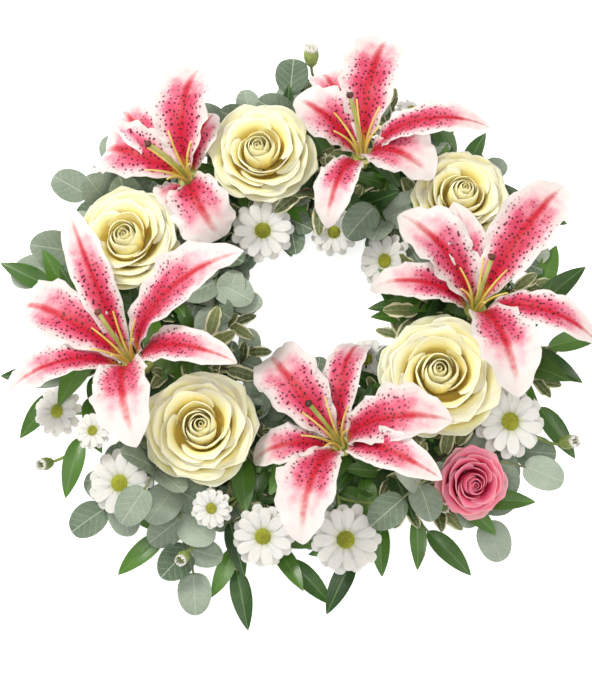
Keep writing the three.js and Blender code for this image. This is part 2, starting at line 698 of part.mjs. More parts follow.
const daisySprays = [
  {
    name: "daisy_spray_1", angle: 210, lean: 55,
    heads: [
      { name: "daisy_1", x: -166, y: -100, z: 74, radius: 15, lean: [-0.3, 0] },
      { name: "daisy_2", x: -146, y: -136, z: 58, radius: 27, lean: [-0.35, -0.2] },
      { name: "daisy_3", x: -194, y: -78, z: 46, radius: 21, lean: [-0.5, -0.1] },
    ],
    buds: [{ x: -200, y: -118, z: 48, size: 1, lean: [-0.9, -0.5] }],
  },
  {
    name: "daisy_spray_2", angle: 249, lean: 55,
    heads: [
      { name: "daisy_4", x: -78, y: -158, z: 72, radius: 16, lean: [-0.1, -0.3] },
      { name: "daisy_5", x: -40, y: -176, z: 58, radius: 25, lean: [-0.1, -0.35] },
    ],
    buds: [{ x: -98, y: -188, z: 46, size: 1, lean: [-0.5, -0.8] }],
  },
  {
    name: "daisy_spray_3", angle: 277, lean: 50,
    heads: [{ name: "daisy_6", x: 21, y: -178, z: 56, radius: 28, lean: [0, -0.35] }],
    buds: [{ x: 92, y: -152, z: 58, size: 0.9, lean: [0.3, -0.6] }],
  },
  {
    name: "daisy_spray_4", angle: 329, lean: 55,
    heads: [{ name: "daisy_7", x: 143, y: -90, z: 62, radius: 29, lean: [0.3, -0.1] }],
    buds: [{ x: 184, y: -104, z: 52, size: 1.1, lean: [1.2, 0] }],
  },
  {
    name: "daisy_spray_5", angle: 126, lean: -48,
    heads: [{ name: "daisy_8", x: -41, y: 58, z: 64, radius: 25, lean: [0.1, -0.25] }],
    buds: [],
  },
  {
    name: "daisy_spray_6", angle: 52, lean: -48,
    heads: [
      { name: "daisy_9", x: 13, y: 60, z: 54, radius: 19, lean: [0, -0.35] },
      { name: "daisy_10", x: 52, y: 36, z: 58, radius: 22, lean: [-0.45, -0.25] },
    ],
    buds: [],
  },
  {
    name: "daisy_spray_7", angle: 84, lean: 50,
    heads: [{ name: "daisy_11", x: 72, y: 152, z: 66, radius: 14, lean: [0.5, 0.9] }],
    buds: [
      { x: -4, y: 198, z: 60, size: 1.2, lean: [0, 1.3] },
      { x: 16, y: 180, z: 66, size: 0.75, lean: [0.1, 0.9] },
    ],
  },
  {
    name: "daisy_spray_8", angle: 318, lean: -50,
    heads: [{ name: "daisy_12", x: 38, y: -40, z: 58, radius: 18, lean: [-0.4, 0.1] }],
    buds: [],
  },
];

const leafySprays = [
  {
    name: "eucalyptus_1", kind: "eucalyptus", angle: 152, lean: 52,
    shoots: [[-176, 92, 46], [-204, 36, 42], [-150, 118, 36]],
  },
  {
    name: "eucalyptus_2", kind: "eucalyptus", angle: 98, lean: 42,
    shoots: [[-20, 172, 56], [12, 172, 40], [-72, 150, 40]],
  },
  {
    name: "eucalyptus_3", kind: "eucalyptus", angle: 147, lean: -40,
    shoots: [[-98, 44, 66], [-86, 16, 56], [-78, -2, 50]],
  },
  {
    name: "eucalyptus_4", kind: "eucalyptus", angle: 240, lean: -35,
    shoots: [[-46, -74, 66], [-24, -88, 58], [-6, -72, 52]],
  },
  {
    name: "eucalyptus_5", kind: "eucalyptus", angle: 228, lean: 60,
    shoots: [[-92, -200, 30], [-128, -146, 78], [-160, -150, 30]],
  },
  {
    name: "eucalyptus_6", kind: "eucalyptus", angle: 313, lean: 58,
    shoots: [[156, -122, 50], [150, -106, 34], [128, -160, 34], [62, -152, 44]],
  },
  {
    name: "eucalyptus_7", kind: "eucalyptus", angle: 60, lean: -42,
    shoots: [[42, 74, 60], [66, 52, 50]],
  },
  {
    name: "ruscus_1", kind: "ruscus", angle: 186, lean: 62,
    shoots: [[-200, 18, 36], [-196, -60, 30], [-186, -96, 40]],
  },
  {
    name: "ruscus_2", kind: "ruscus", angle: 244, lean: 62,
    shoots: [[-116, -168, 28], [-60, -196, 24], [-20, -190, 30]],
  },
  {
    name: "ruscus_3", kind: "ruscus", angle: 293, lean: 62,
    shoots: [[26, -190, 28], [84, -168, 30], [112, -160, 34]],
  },
  {
    name: "ruscus_4", kind: "ruscus", angle: 347, lean: 62,
    shoots: [[168, -76, 44], [176, -28, 46], [168, 14, 40]],
  },
  {
    name: "ruscus_5", kind: "ruscus", angle: 40, lean: 55,
    shoots: [[104, 124, 42], [150, 84, 36]],
  },
  {
    name: "pittosporum_1", kind: "pittosporum", angle: 208, lean: -32,
    shoots: [[-80, -24, 60], [-66, -50, 62]],
  },
  {
    name: "pittosporum_2", kind: "pittosporum", angle: 84, lean: -32,
    shoots: [[2, 78, 64], [-14, 84, 66]],
  },
  {
    name: "pittosporum_3", kind: "pittosporum", angle: 14, lean: -30,
    shoots: [[66, 20, 70], [70, -14, 66]],
  },
  {
    name: "pittosporum_4", kind: "pittosporum", angle: 300, lean: 48,
    shoots: [[92, -150, 46], [124, -120, 56]],
  },
];

// Colour and roughness.
const looks = {
  tray: [0x2f4a33, 0.55],
  foam: [0x3f6b3c, 0.95],
  cream: [0xf6efb9, 0.55],
  rosePink: [0xe0607f, 0.55],
  lilyPink: [0xe8567a, 0.45],
  lilyGreen: [0xb9b53a, 0.5],
  stemGreen: [0x5d7a38, 0.6],
  daisyWhite: [0xf6f3ec, 0.6],
  daisyGreen: [0x8f9a2c, 0.7],
  eucalyptus: [0x8fa08a, 0.6],
  ruscus: [0x2c5a1f, 0.4],
  pittosporum: [0x7d8250, 0.55],
};
const wreath = new THREE.Group();

function addPiece(name, solid, look) {
  const [color, roughness] = looks[look];
  const mesh = new THREE.Mesh(geometryOf(solid), new THREE.MeshStandardMaterial({ color, roughness, metalness: 0 }));
  mesh.name = name;
  wreath.add(mesh);
  place(name, solid);
}

// All put together from the ring outwards.
const { x: holeX, y: holeY, z: holeZ } = holeBox;
const hole = new THREE.BoxGeometry(holeX[1] - holeX[0], holeY[1] - holeY[0], holeZ[1] - holeZ[0]);
hole.translate((holeX[0] + holeX[1]) / 2, (holeY[0] + holeY[1]) / 2, (holeZ[0] + holeZ[1]) / 2);
place("hole", solidOf(hole));
const plainFoam = makeFoam();
place("foam", plainFoam);
addPiece("tray", makeTray(), "tray");

const angleOf = ({ x, y }) => THREE.MathUtils.radToDeg(Math.atan2(y, x));
// A bloom beyond the ring's centre line has a stem that leans outwards, and one inside it inwards.
const leanOf = ({ x, y }) => THREE.MathUtils.clamp((Math.hypot(x, y) - ringRadius) * 0.9, -40, 58);

[...roses, pinkRose].forEach((rose, n) => {
  const frame = bloomFrame(rose);
  const isPink = rose === pinkRose;
  const root = rootOf(angleOf(rose), leanOf(rose), stemRadius.rose * (isPink ? 0.8 : 1));
  const bloom = roseBloom(frame, rose.scale, n, isPink ? 0.9 : 1);
  addPiece(`${rose.name}_petals`, bloom, isPink ? "rosePink" : "cream");
  addPiece(`${rose.name}_stem`, roseStem(root, frame, rose.scale, n), "stemGreen");
});

lilies.forEach((lily, n) => {
  lily.seed = 40 + n;
  const frame = bloomFrame(lily);
  const root = rootOf(angleOf(lily), leanOf(lily), stemRadius.lily);
  const stem = lilyStem(root, frame, lily);
  addPiece(`${lily.name}_petals`, lilyBloom(frame, lily), "lilyPink");
  addPiece(`${lily.name}_stem`, stem, "lilyGreen");
});

daisySprays.forEach(daisySpray);
leafySprays.forEach((spray, n) => leafySpray(spray, n + 1));
addPiece("foam", wholeOf(plainFoam.subtract(fused(foamHoles))), "foam");

const outline = new THREE.Box3().setFromObject(wreath);
const middle = outline.getCenter(vec(0, 0, 0));
wreath.children.forEach((mesh) => mesh.geometry.translate(-middle.x, -middle.y, 0));

export default wreath;
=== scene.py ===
# A funeral wreath of lilies, roses, daisies and cut foliage in a ring of wet foam.
# Lengths in the wreath's own layout are millimetres about the centre of its ring; meshes are in metres.
import math

import bmesh
import bpy
from mathutils import Matrix, Vector
from mathutils.bvhtree import BVHTree
from mathutils.kdtree import KDTree


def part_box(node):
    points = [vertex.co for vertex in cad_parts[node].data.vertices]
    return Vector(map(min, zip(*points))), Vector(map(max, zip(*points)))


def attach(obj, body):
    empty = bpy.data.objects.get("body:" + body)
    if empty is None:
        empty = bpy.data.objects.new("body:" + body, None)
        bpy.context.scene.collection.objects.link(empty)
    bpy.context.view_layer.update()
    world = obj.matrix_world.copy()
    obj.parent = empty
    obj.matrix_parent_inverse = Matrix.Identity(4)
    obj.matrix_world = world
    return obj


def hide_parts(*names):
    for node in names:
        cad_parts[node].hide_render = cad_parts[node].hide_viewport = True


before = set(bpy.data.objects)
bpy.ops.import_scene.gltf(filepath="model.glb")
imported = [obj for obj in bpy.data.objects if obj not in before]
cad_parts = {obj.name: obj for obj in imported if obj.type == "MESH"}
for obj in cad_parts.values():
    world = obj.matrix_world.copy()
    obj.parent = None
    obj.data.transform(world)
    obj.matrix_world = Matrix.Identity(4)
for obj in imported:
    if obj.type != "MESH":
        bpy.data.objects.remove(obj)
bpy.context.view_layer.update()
up = Vector((0, 0, 1))
low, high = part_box("tray")
ringCentre = Vector(((low[0] + high[0]) / 2, (low[1] + high[1]) / 2, 0))


def toMetres(point):
    return point * 0.001 + ringCentre


# The part of a direction that is square to an axis.
def squareTo(axis, way):
    return (way - axis * way.dot(axis)).normalized()


def table(keys, rows):
    return [dict(zip(keys, row)) for row in rows]


# A repeatable number from 0 to 1 for three whole numbers, as in the solids.
def draw(a, b, c):
    x = math.sin(a * 12.9898 + b * 78.233 + c * 37.719 + 4.137) * 4375.8545
    return x - math.floor(x)


# Shader maths on sockets, and one method for every other node.
class Wire:
    def __init__(self, look, socket):
        self.look = look
        self.socket = socket

    def math(self, operation, *values):
        return self.look.add("Math", {"operation": operation}, dict(enumerate(values)))

    def __add__(self, other):
        return self.math("ADD", self, other)

    def __radd__(self, other):
        return self.math("ADD", other, self)

    def __sub__(self, other):
        return self.math("SUBTRACT", self, other)

    def __rsub__(self, other):
        return self.math("SUBTRACT", other, self)

    def __mul__(self, other):
        return self.math("MULTIPLY", self, other)

    def __rmul__(self, other):
        return self.math("MULTIPLY", other, self)

    def __truediv__(self, other):
        return self.math("DIVIDE", self, other)

    def __abs__(self):
        return self.math("ABSOLUTE", self)

    def sine(self):
        return self.math("SINE", self)

    # 0 below start, 1 above end, smooth between; start may be the larger
    def ease(self, start, end):
        sockets = {"Value": self, "From Min": start, "From Max": end}
        return self.look.add("MapRange", {"interpolation_type": "SMOOTHSTEP"}, sockets)


class Look:
    def __init__(self, name, **constants):
        self.material = bpy.data.materials.new(name)
        self.material.use_nodes = True
        self.tree = self.material.node_tree
        self.skin = self.tree.nodes["Principled BSDF"]
        for socket, value in constants.items():
            self.skin.inputs[socket.replace("_", " ")].default_value = value

    def add(self, kind, settings=None, sockets=None, out=0):
        node = self.tree.nodes.new("ShaderNode" + kind)
        for key, value in (settings or {}).items():
            setattr(node, key, value)
        for key, value in (sockets or {}).items():
            if isinstance(value, Wire):
                self.tree.links.new(value.socket, node.inputs[key])
            else:
                node.inputs[key].default_value = value
        return Wire(self, node.outputs[out])

    # sockets 6 and 7 are the two colours, and output 2 is the mixed one
    def mix(self, factor, a, b):
        a, b = (colour if isinstance(colour, Wire) else (*colour, 1) for colour in (a, b))
        return self.add("Mix", {"data_type": "RGBA"}, {0: factor, 6: a, 7: b}, out=2)

    # a place on one of the piece's maps
    def place(self, name):
        return self.add("UVMap", {"uv_map": name})

    # the two numbers of one of the piece's maps
    def numbers(self, name):
        place = self.place(name)
        return [self.add("SeparateXYZ", None, {0: place}, out=n) for n in (0, 1)]

    def noise(self, place, scale, detail=3, roughness=0.55):
        sockets = {"Vector": place, "Scale": scale, "Detail": detail, "Roughness": roughness}
        return self.add("TexNoise", None, sockets)

    def stretched(self, place, x, y, z=1):
        return self.add("Mapping", None, {"Vector": place, "Scale": (x, y, z)})

    def objectPlace(self):
        return self.add("TexCoord", out=3)

    def paint(self, colour, roughness, height, distance=0.0004, strength=0.5):
        bump = self.add("Bump", None, {"Height": height, "Distance": distance, "Strength": strength})
        for socket, wire in (("Base Color", colour), ("Roughness", roughness), ("Normal", bump)):
            self.tree.links.new(wire.socket, self.skin.inputs[socket])
        return self.material


# how far apart, in centimetres, the patterns of two petals or leaves of a piece can lie
mapStep = 17

# light that goes into a petal and comes out again close by
daisyGlow = {"Subsurface_Weight": 0.35, "Subsurface_Radius": (1, 0.75, 0.6), "Subsurface_Scale": 0.003}
lilyGlow = {**daisyGlow, "Subsurface_Weight": 0.2}
roseGlow = {"Subsurface_Weight": 0.5, "Subsurface_Radius": (1, 0.85, 0.5), "Subsurface_Scale": 0.0015}

# heart: the red down the middle; keel: the midrib seen from behind
lilyColours = {
    "margin": (0.75, 0.69, 0.675), "pink": (0.72, 0.15, 0.27), "heart": (0.5, 0.004, 0.045),
    "rib": (0.5, 0.002, 0.02), "throat": (0.6, 0.42, 0.04), "spot": (0.08, 0.0, 0.01),
    "back": (0.86, 0.84, 0.8), "backPink": (0.75, 0.25, 0.35), "keel": (0.45, 0.5, 0.2),
}


def makeLilyLook():
    look = Look("lilyTepal", Specular_IOR_Level=0.35, **lilyGlow)
    u, s = look.numbers("petal")
    flat = look.place("flat")
    side, chance = look.numbers("own")
    edge = abs(u * 2 - 1)
    cloud = look.noise(flat, 0.9, 4)
    lines = look.noise(look.stretched(flat, 9, 0.5), 1.2, 3)
    ragged = edge + (cloud - 0.5) * 0.5 + (lines - 0.5) * 0.22
    towardTip = s + (cloud - 0.5) * 0.35 + (chance - 0.5) * 0.2
    pinkness = (1 - ragged.ease(0.42, 0.95)) * (1 - towardTip.ease(0.5, 0.9))
    heart = (1 - ragged.ease(0.22, 0.74)) * (1 - towardTip.ease(0.36, 0.8))
    rib = (1 - (edge + (lines - 0.5) * 0.14).ease(0.03, 0.22)) * (1 - towardTip.ease(0.66, 1.0))
    throat = (1 - s.ease(0.04, 0.2)) * (1 - edge.ease(0.1, 0.8))
    colour = look.mix(pinkness, lilyColours["margin"], lilyColours["pink"])
    colour = look.mix(heart * 0.94, colour, lilyColours["heart"])
    colour = look.mix(rib * 0.95, colour, lilyColours["rib"])
    colour = look.mix(throat, colour, lilyColours["throat"])
    flatCells = {"feature": "F1", "voronoi_dimensions": "2D"}
    cell = look.add("TexVoronoi", flatCells, {"Vector": flat, "Scale": 2.5, "Randomness": 0.85})
    size = look.noise(flat, 2.5, 1) * 0.42 + 0.02
    where = towardTip.ease(0.02, 0.1) * (1 - towardTip.ease(0.52, 0.72)) * (1 - ragged.ease(0.68, 0.95))
    spots = (1 - (cell / size).ease(0.75, 1.05)) * where
    colour = look.mix(spots * 0.97, colour, lilyColours["spot"])
    back = look.mix((1 - ragged.ease(0.1, 0.65)) * 0.7, lilyColours["back"], lilyColours["backPink"])
    back = look.mix((1 - edge.ease(0.02, 0.16)) * (1 - s.ease(0.5, 0.95)), back, lilyColours["keel"])
    colour = look.mix(side, back, colour)
    height = lines * 0.6 + spots * 1.4 + cloud * 0.3
    return look.paint(colour, 0.36 + lines * 0.2, height, 0.0005, 0.45)


# rim and outer: colours at the lip; deep: the petals' deeper colour down in the bloom, partly painted light
# bouncing in the recess; guard: tint of the outermost petals
roseColours = {
    "rosePetal": {
        "rim": (0.96, 0.94, 0.8), "outer": (0.96, 0.92, 0.64), "mid": (0.97, 0.88, 0.44),
        "deep": (0.98, 0.74, 0.18), "guard": (0.72, 0.77, 0.32),
    },
    "pinkRosePetal": {
        "rim": (0.9, 0.48, 0.54), "outer": (0.86, 0.26, 0.36), "mid": (0.8, 0.09, 0.22),
        "deep": (0.62, 0.012, 0.1), "guard": (0.84, 0.46, 0.44),
    },
}


def makeRoseLook(name):
    look = Look(name, Specular_IOR_Level=0.3, **roseGlow)
    colours = roseColours[name]
    s = look.numbers("petal")[1]
    flat = look.place("flat")
    layer = look.numbers("own")[1]
    veins = look.noise(look.stretched(flat, 7, 0.6), 1.4, 3)
    cloud = look.noise(flat, 0.6, 3)
    rise = s + (cloud - 0.5) * 0.25
    tint = layer.ease(0.75, 0.98) * (cloud + 0.25).ease(0.45, 0.95) * 0.6
    # toward the foot of each petal the colour goes to deep: the petals' own deeper base and, in part, painted
    # bounce light in the recess
    colour = look.mix(rise.ease(0.35, 0.85), colours["deep"], colours["mid"])
    colour = look.mix(rise.ease(0.62, 0.92), colour, colours["outer"])
    colour = look.mix(tint, colour, colours["guard"])
    colour = look.mix(s.ease(0.93, 0.985) * 0.7, colour, colours["rim"])
    # the inner petals pulled toward mid: painted warm light in the shaded heart, standing in for light
    # bouncing between the petals
    colour = look.mix((1 - layer.ease(0.12, 0.4)) * 0.6, colour, colours["mid"])
    colour = look.mix(veins.ease(0.5, 0.85) * 0.08, colour, colours["deep"])
    return look.paint(colour, 0.5 + veins * 0.15, veins + cloud * 0.6, 0.0004, 0.25)


daisyColours = {
    "foot": (0.48, 0.5, 0.27), "white": (0.72, 0.71, 0.68), "vein": (0.7, 0.68, 0.62),
    "under": (0.72, 0.7, 0.62),
}


def makeDaisyLook():
    look = Look("daisyPetal", Specular_IOR_Level=0.3, **daisyGlow)
    s = look.numbers("petal")[1]
    side = look.numbers("own")[0]
    veins = look.noise(look.stretched(look.place("flat"), 12, 0.5), 1.3, 2)
    colour = look.mix(s.ease(0.02, 0.4), daisyColours["foot"], daisyColours["white"])
    colour = look.mix(veins.ease(0.45, 0.8) * 0.35, colour, daisyColours["vein"])
    colour = look.mix((1 - side) * 0.35, colour, daisyColours["under"])
    return look.paint(colour, 0.5 + veins * 0.15, veins, 0.0004, 0.7)


def makeLeafLook(name, kind):
    look = Look(name, Specular_IOR_Level=kind["specular"])
    u = look.numbers("petal")[0]
    flat = look.place("flat")
    across, along = look.numbers("flat")
    side, chance = look.numbers("own")
    edge = abs(u * 2 - 1)
    cloud = look.noise(flat, 0.8, 4)
    fine = look.noise(flat, 9, 3)
    aside = abs(across - chance * mapStep)
    rib = 1 - aside.ease(0.012, kind["rib"])
    # side veins slant forwards from the midrib; parallel ones run with it
    slant = (along * kind["veins"] - aside * kind["slant"] + (cloud - 0.5) * 1.2).sine()
    lengthwise = (u * kind["parallel"] + (cloud - 0.5) * 0.4).sine()
    vein = (slant if kind["veins"] else lengthwise).ease(0.72, 1.0)
    colour = look.mix(chance * 0.9 + (cloud - 0.5) * 0.6, kind["dark"], kind["light"])
    colour = look.mix(vein * kind["veinShow"], colour, kind["vein"])
    colour = look.mix(fine.ease(0.54, 0.7) * kind["speckle"], colour, kind["speck"])
    colour = look.mix((1 - fine.ease(0.3, 0.45)) * kind["speckle"], colour, kind["vein"])
    margin = (edge + (cloud - 0.5) * 0.5 + (fine - 0.5) * 0.1).ease(kind["margin"], kind["margin"] + 0.12)
    colour = look.mix(margin * kind["marginShow"], colour, kind["rim"])
    colour = look.mix(rib * kind["ribShow"], colour, kind["vein"])
    colour = look.mix((1 - side) * 0.55, colour, kind["under"])
    height = vein * (-2 * kind["veinShow"]) - rib + fine * 0.35 + cloud * 0.4
    return look.paint(colour, kind["roughness"] + (fine - 0.5) * 0.2, height, 0.0004, 0.5)


leafLooks = {
    "eucalyptus": {
        "roughness": 0.6, "specular": 0.3, "rib": 0.055, "veins": 11, "slant": 9, "parallel": 0,
        "dark": (0.09, 0.14, 0.085), "light": (0.36, 0.43, 0.35), "vein": (0.47, 0.53, 0.42),
        "veinShow": 0.16, "ribShow": 0.75, "speck": (0.08, 0.12, 0.07), "speckle": 0.28,
        "margin": 0.97, "marginShow": 0.3, "rim": (0.4, 0.36, 0.26), "under": (0.42, 0.47, 0.38),
    },
    "ruscus": {
        "roughness": 0.32, "specular": 0.5, "rib": 0.05, "veins": 0, "slant": 0, "parallel": 46,
        "dark": (0.012, 0.05, 0.008), "light": (0.08, 0.2, 0.02), "vein": (0.16, 0.3, 0.08),
        "veinShow": 0.1, "ribShow": 0.6, "speck": (0.02, 0.05, 0.015), "speckle": 0.2,
        "margin": 0.98, "marginShow": 0.3, "rim": (0.2, 0.32, 0.1), "under": (0.12, 0.24, 0.08),
    },
    "pittosporum": {
        "roughness": 0.42, "specular": 0.4, "rib": 0.05, "veins": 12, "slant": 9, "parallel": 0,
        "dark": (0.045, 0.065, 0.025), "light": (0.17, 0.21, 0.07), "vein": (0.36, 0.4, 0.2),
        "veinShow": 0.25, "ribShow": 0.6, "speck": (0.08, 0.11, 0.05), "speckle": 0.3,
        "margin": 0.66, "marginShow": 0.9, "rim": (0.66, 0.64, 0.42), "under": (0.36, 0.4, 0.26),
    },
}


def makeStemLook(name, dark, light, roughness=0.5):
    look = Look(name, Specular_IOR_Level=0.35)
    place = look.objectPlace()
    cloud = look.noise(place, 60, 3)
    fine = look.noise(look.stretched(place, 1, 1, 0.3), 700, 2)
    colour = look.mix(cloud.ease(0.3, 0.7), dark, light)
    return look.paint(colour, roughness + (fine - 0.5) * 0.2, fine, 0.0002, 0.4)


def makeGrainLook(name, dark, light, scale, depth, roughness):
    look = Look(name, Specular_IOR_Level=0.25)
    place = look.objectPlace()
    cloud = look.noise(place, scale * 0.06, 3)
    cell = look.add("TexVoronoi", {"feature": "F1"}, {"Vector": place, "Scale": scale})
    grain = look.noise(place, scale * 1.6, 3)
    colour = look.mix((cloud * 0.5 + grain * 0.5).ease(0.35, 0.65), dark, light)
    colour = look.mix((1 - cell.ease(0.05, 0.35)) * 0.5, colour, dark)
    return look.paint(colour, roughness + (grain - 0.5) * 0.2, cell + grain * 0.6, depth, 0.7)


print("making the looks")
looks = {
    "lilyTepal": makeLilyLook(),
    "lilyGreen": makeStemLook("lilyStyle", (0.3, 0.38, 0.07), (0.55, 0.56, 0.2), 0.4),
    "filament": makeStemLook("lilyFilament", (0.72, 0.6, 0.1), (0.86, 0.76, 0.24), 0.45),
    "stigma": makeStemLook("lilyStigma", (0.05, 0.012, 0.01), (0.16, 0.05, 0.03), 0.5),
    "roseCream": makeRoseLook("rosePetal"),
    "rosePink": makeRoseLook("pinkRosePetal"),
    "stemGreen": makeStemLook("roseStem", (0.08, 0.14, 0.035), (0.2, 0.3, 0.08)),
    "daisyPetal": makeDaisyLook(),
    "daisyDisc": makeGrainLook("daisyDisc", (0.16, 0.18, 0.015), (0.42, 0.44, 0.045), 900, 0.0006, 0.6),
    "daisyGreen": makeStemLook("daisyStem", (0.12, 0.18, 0.04), (0.28, 0.36, 0.1)),
    "brownStem": makeStemLook("pittosporumStem", (0.025, 0.014, 0.01), (0.1, 0.06, 0.035), 0.65),
    "leafStem": makeStemLook("foliageStem", (0.1, 0.13, 0.05), (0.26, 0.28, 0.13), 0.55),
    "foam": makeGrainLook("wetFoam", (0.02, 0.05, 0.018), (0.06, 0.13, 0.045), 1400, 0.0005, 0.85),
    "tray": makeGrainLook("trayPlastic", (0.012, 0.03, 0.015), (0.022, 0.05, 0.026), 2500, 0.00012, 0.45),
    "moss": makeStemLook("moss", (0.03, 0.055, 0.012), (0.12, 0.17, 0.035), 0.85),
    **{kind: makeLeafLook(kind + "Leaf", values) for kind, values in leafLooks.items()},
}


blooms = []


# Whether a leaf of this shape would pass through one of the blooms that are done.
def meetsBloom(shape):
    for t in (-0.95, -0.6, -0.3, 0, 0.3, 0.6, 0.95):
        line = [toMetres(shape(s, t)[0]) for s in (0.05, 0.35, 0.7, 1)]
        for start, end in zip(line, line[1:]):
            way = end - start
            if any(bloom.ray_cast(start, way, way.length)[0] for bloom in blooms):
                return True
    return False


# vertices nearer than merge, in millimetres, become one; edges folded more than fold, in radians, are sharp
seam = {"merge": 0.002, "fold": 1.05}


# A piece being made: its mesh, its looks and its three maps.
class Piece:
    def __init__(self, name, *lookNames):
        self.name = name
        self.lookNames = lookNames
        self.bm = bmesh.new()
        self.maps = [self.bm.loops.layers.uv.new(label) for label in ("petal", "flat", "own")]

    def finish(self, slot, *nodes, isBloom=False):
        bm = self.bm
        bmesh.ops.remove_doubles(bm, verts=bm.verts[:], dist=seam["merge"])
        bmesh.ops.dissolve_degenerate(bm, edges=bm.edges[:], dist=seam["merge"])
        bmesh.ops.recalc_face_normals(bm, faces=bm.faces[:])
        for edge in bm.edges:
            edge.smooth = not (len(edge.link_faces) == 2 and edge.calc_face_angle() > seam["fold"])
        place = Matrix.Translation(ringCentre) @ Matrix.Scale(0.001, 4)
        bmesh.ops.transform(bm, matrix=place, verts=bm.verts[:])
        for face in bm.faces:
            face.smooth = True
        if isBloom:
            blooms.append(BVHTree.FromBMesh(bm))
        mesh = bpy.data.meshes.new(self.name)
        bm.to_mesh(mesh)
        bm.free()
        for lookName in self.lookNames:
            mesh.materials.append(looks[lookName])
        piece = bpy.data.objects.new(self.name, mesh)
        bpy.context.collection.objects.link(piece)
        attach(piece, "root")
        if nodes:
            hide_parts(*nodes)
        return piece

    # A thin petal or leaf closed to an edge all round. point(s, t) gives its place, the way its thickness
    # goes and its width there; s runs from foot to tip and t from side to side, -1 to 1.
    def addSheet(self, rows, columns, point, thickness, length, own, look=0):
        for side in (1, -1):
            made = bmesh.ops.create_grid(self.bm, x_segments=columns, y_segments=rows, size=1)["verts"]
            spots = {}
            for vertex in made:
                t = vertex.co.x
                s = (1 - math.cos(math.pi * (vertex.co.y + 1) / 2)) / 2
                place, normal, half = point(s, t)
                inside = (1 - t * t) * min(1, 12 * s * (1 - s))
                vertex.co = place + normal * (side * thickness / 2 * inside ** 0.5)
                spots[vertex] = ((t + 1) / 2, s, t * half / 10, s * length / 10)
            for face in {face for vertex in made for face in vertex.link_faces}:
                face.material_index = look
                for loop in face.loops:
                    u, s, across, along = spots[loop.vert]
                    loop[self.maps[0]].uv = (u, s)
                    loop[self.maps[1]].uv = (across + mapStep * own, along)
                    loop[self.maps[2]].uv = (1 if side > 0 else 0, own)

    # A tube along some points, closed at both ends; its radius may change from the first end to the last.
    def addTube(self, points, radius, sides=8, look=0):
        radiusAt = radius if callable(radius) else lambda s: radius
        path = [points[0], *points, points[-1]]
        last = len(path) - 1
        rings = []
        across = Vector((0.31, 0.17, 0.94))
        for i, point in enumerate(path):
            along = (path[min(i + 1, last)] - path[max(i - 1, 0)]).normalized()
            across = squareTo(along, across)
            size = 0 if i in (0, last) else radiusAt((i - 1) / (last - 2))
            rings.append((point, across.copy(), along.cross(across), size))
        made = bmesh.ops.create_grid(self.bm, x_segments=sides, y_segments=last, size=1)["verts"]
        for vertex in made:
            point, across, third, size = rings[round((vertex.co.y + 1) / 2 * last)]
            turn = math.pi * (vertex.co.x + 1)
            vertex.co = point + across * (size * math.cos(turn)) + third * (size * math.sin(turn))
        for face in {face for vertex in made for face in vertex.link_faces}:
            face.material_index = look

    # An outline of (radius, height) pairs spun about an axis through origin.
    def addTurned(self, outline, origin, axis, segments=24, look=0):
        bm = self.bm
        before = set(bm.faces)
        corners = [bm.verts.new((r, 0, h)) for r, h in outline]
        edges = [bm.edges.new(pair) for pair in zip(corners, corners[1:])]
        once = {"cent": (0, 0, 0), "axis": (0, 0, 1), "angle": 2 * math.pi, "use_merge": True}
        bmesh.ops.spin(bm, geom=corners + edges, steps=segments, **once)
        faces = [face for face in bm.faces if face not in before]
        turn = up.rotation_difference(axis).to_matrix().to_4x4()
        verts = list({vertex for face in faces for vertex in face.verts})
        bmesh.ops.transform(bm, matrix=Matrix.Translation(origin) @ turn, verts=verts)
        for face in faces:
            face.material_index = look


# The place of a blade's point: an arc from the foot to the tip, as wide as its rise and fall say.
def bladeAt(place, blade, relief=None):
    origin, along, upward = place
    side = upward.cross(along)
    start = math.radians(blade["start"])
    turn = math.radians(blade["end"] - blade["start"])
    rise, fall = blade["rise"], blade["fall"]
    widest = rise / (rise + fall)
    peak = widest**rise * (1 - widest) ** fall

    def point(s, t):
        angle = start + turn * s
        forward = blade["length"] * (math.sin(angle) - math.sin(start)) / turn
        lifted = blade["length"] * (math.cos(start) - math.cos(angle)) / turn
        normal = upward * math.cos(angle) - along * math.sin(angle)
        half = blade["width"] / 2 * s**rise * (1 - s) ** fall / peak
        ripple = math.sin(2 * math.pi * (blade["waves"] * s + blade["phase"]) + t)
        lift = (blade["cup"] * half + ripple * blade["wave"] * math.sin(math.pi * s)) * t * t
        if relief:
            lift += relief(s, t, half)
        notch = math.sin(2 * math.pi * (5.3 * s + 3 * blade["phase"]) + 2 * t)
        fray = 1 + blade.get("fray", 0) * abs(t) * notch
        spot = origin + along * forward + upward * lifted + side * (t * half * fray) + normal * lift
        return spot, normal, half

    return point


# The axes of a bloom that leans by so much sideways for one unit of height.
def bloomFrame(x, y, z, lean=(0, 0)):
    axis = Vector((lean[0], lean[1], 1)).normalized()
    across = squareTo(axis, Vector((1, 0, 0)))
    return Vector((x, y, z)), axis, across, axis.cross(across)


def spoke(bloom, heading):
    turn = math.radians(heading)
    return bloom[2] * math.cos(turn) + bloom[3] * math.sin(turn)


def bezier(a, b, c, d):
    def point(t):
        return a * (1 - t) ** 3 + b * (3 * t * (1 - t) ** 2) + c * (3 * t * t * (1 - t)) + d * t**3

    return point


def steps(curve, count):
    return [curve(i / count) for i in range(count + 1)]


def bend(a, b, c, count):
    return steps(lambda t: a * (1 - t) ** 2 + b * (2 * t * (1 - t)) + c * t * t, count)


# Which of the forms that a petal, head or shoot could take is the one that stands in the solids.
trees = {}


def stands(node, point):
    if node not in trees:
        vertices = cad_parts[node].data.vertices
        tree = KDTree(len(vertices))
        for i, vertex in enumerate(vertices):
            tree.insert(vertex.co, i)
        tree.balance()
        trees[node] = tree
    return trees[node].find(toMetres(point))[2] < 0.0003


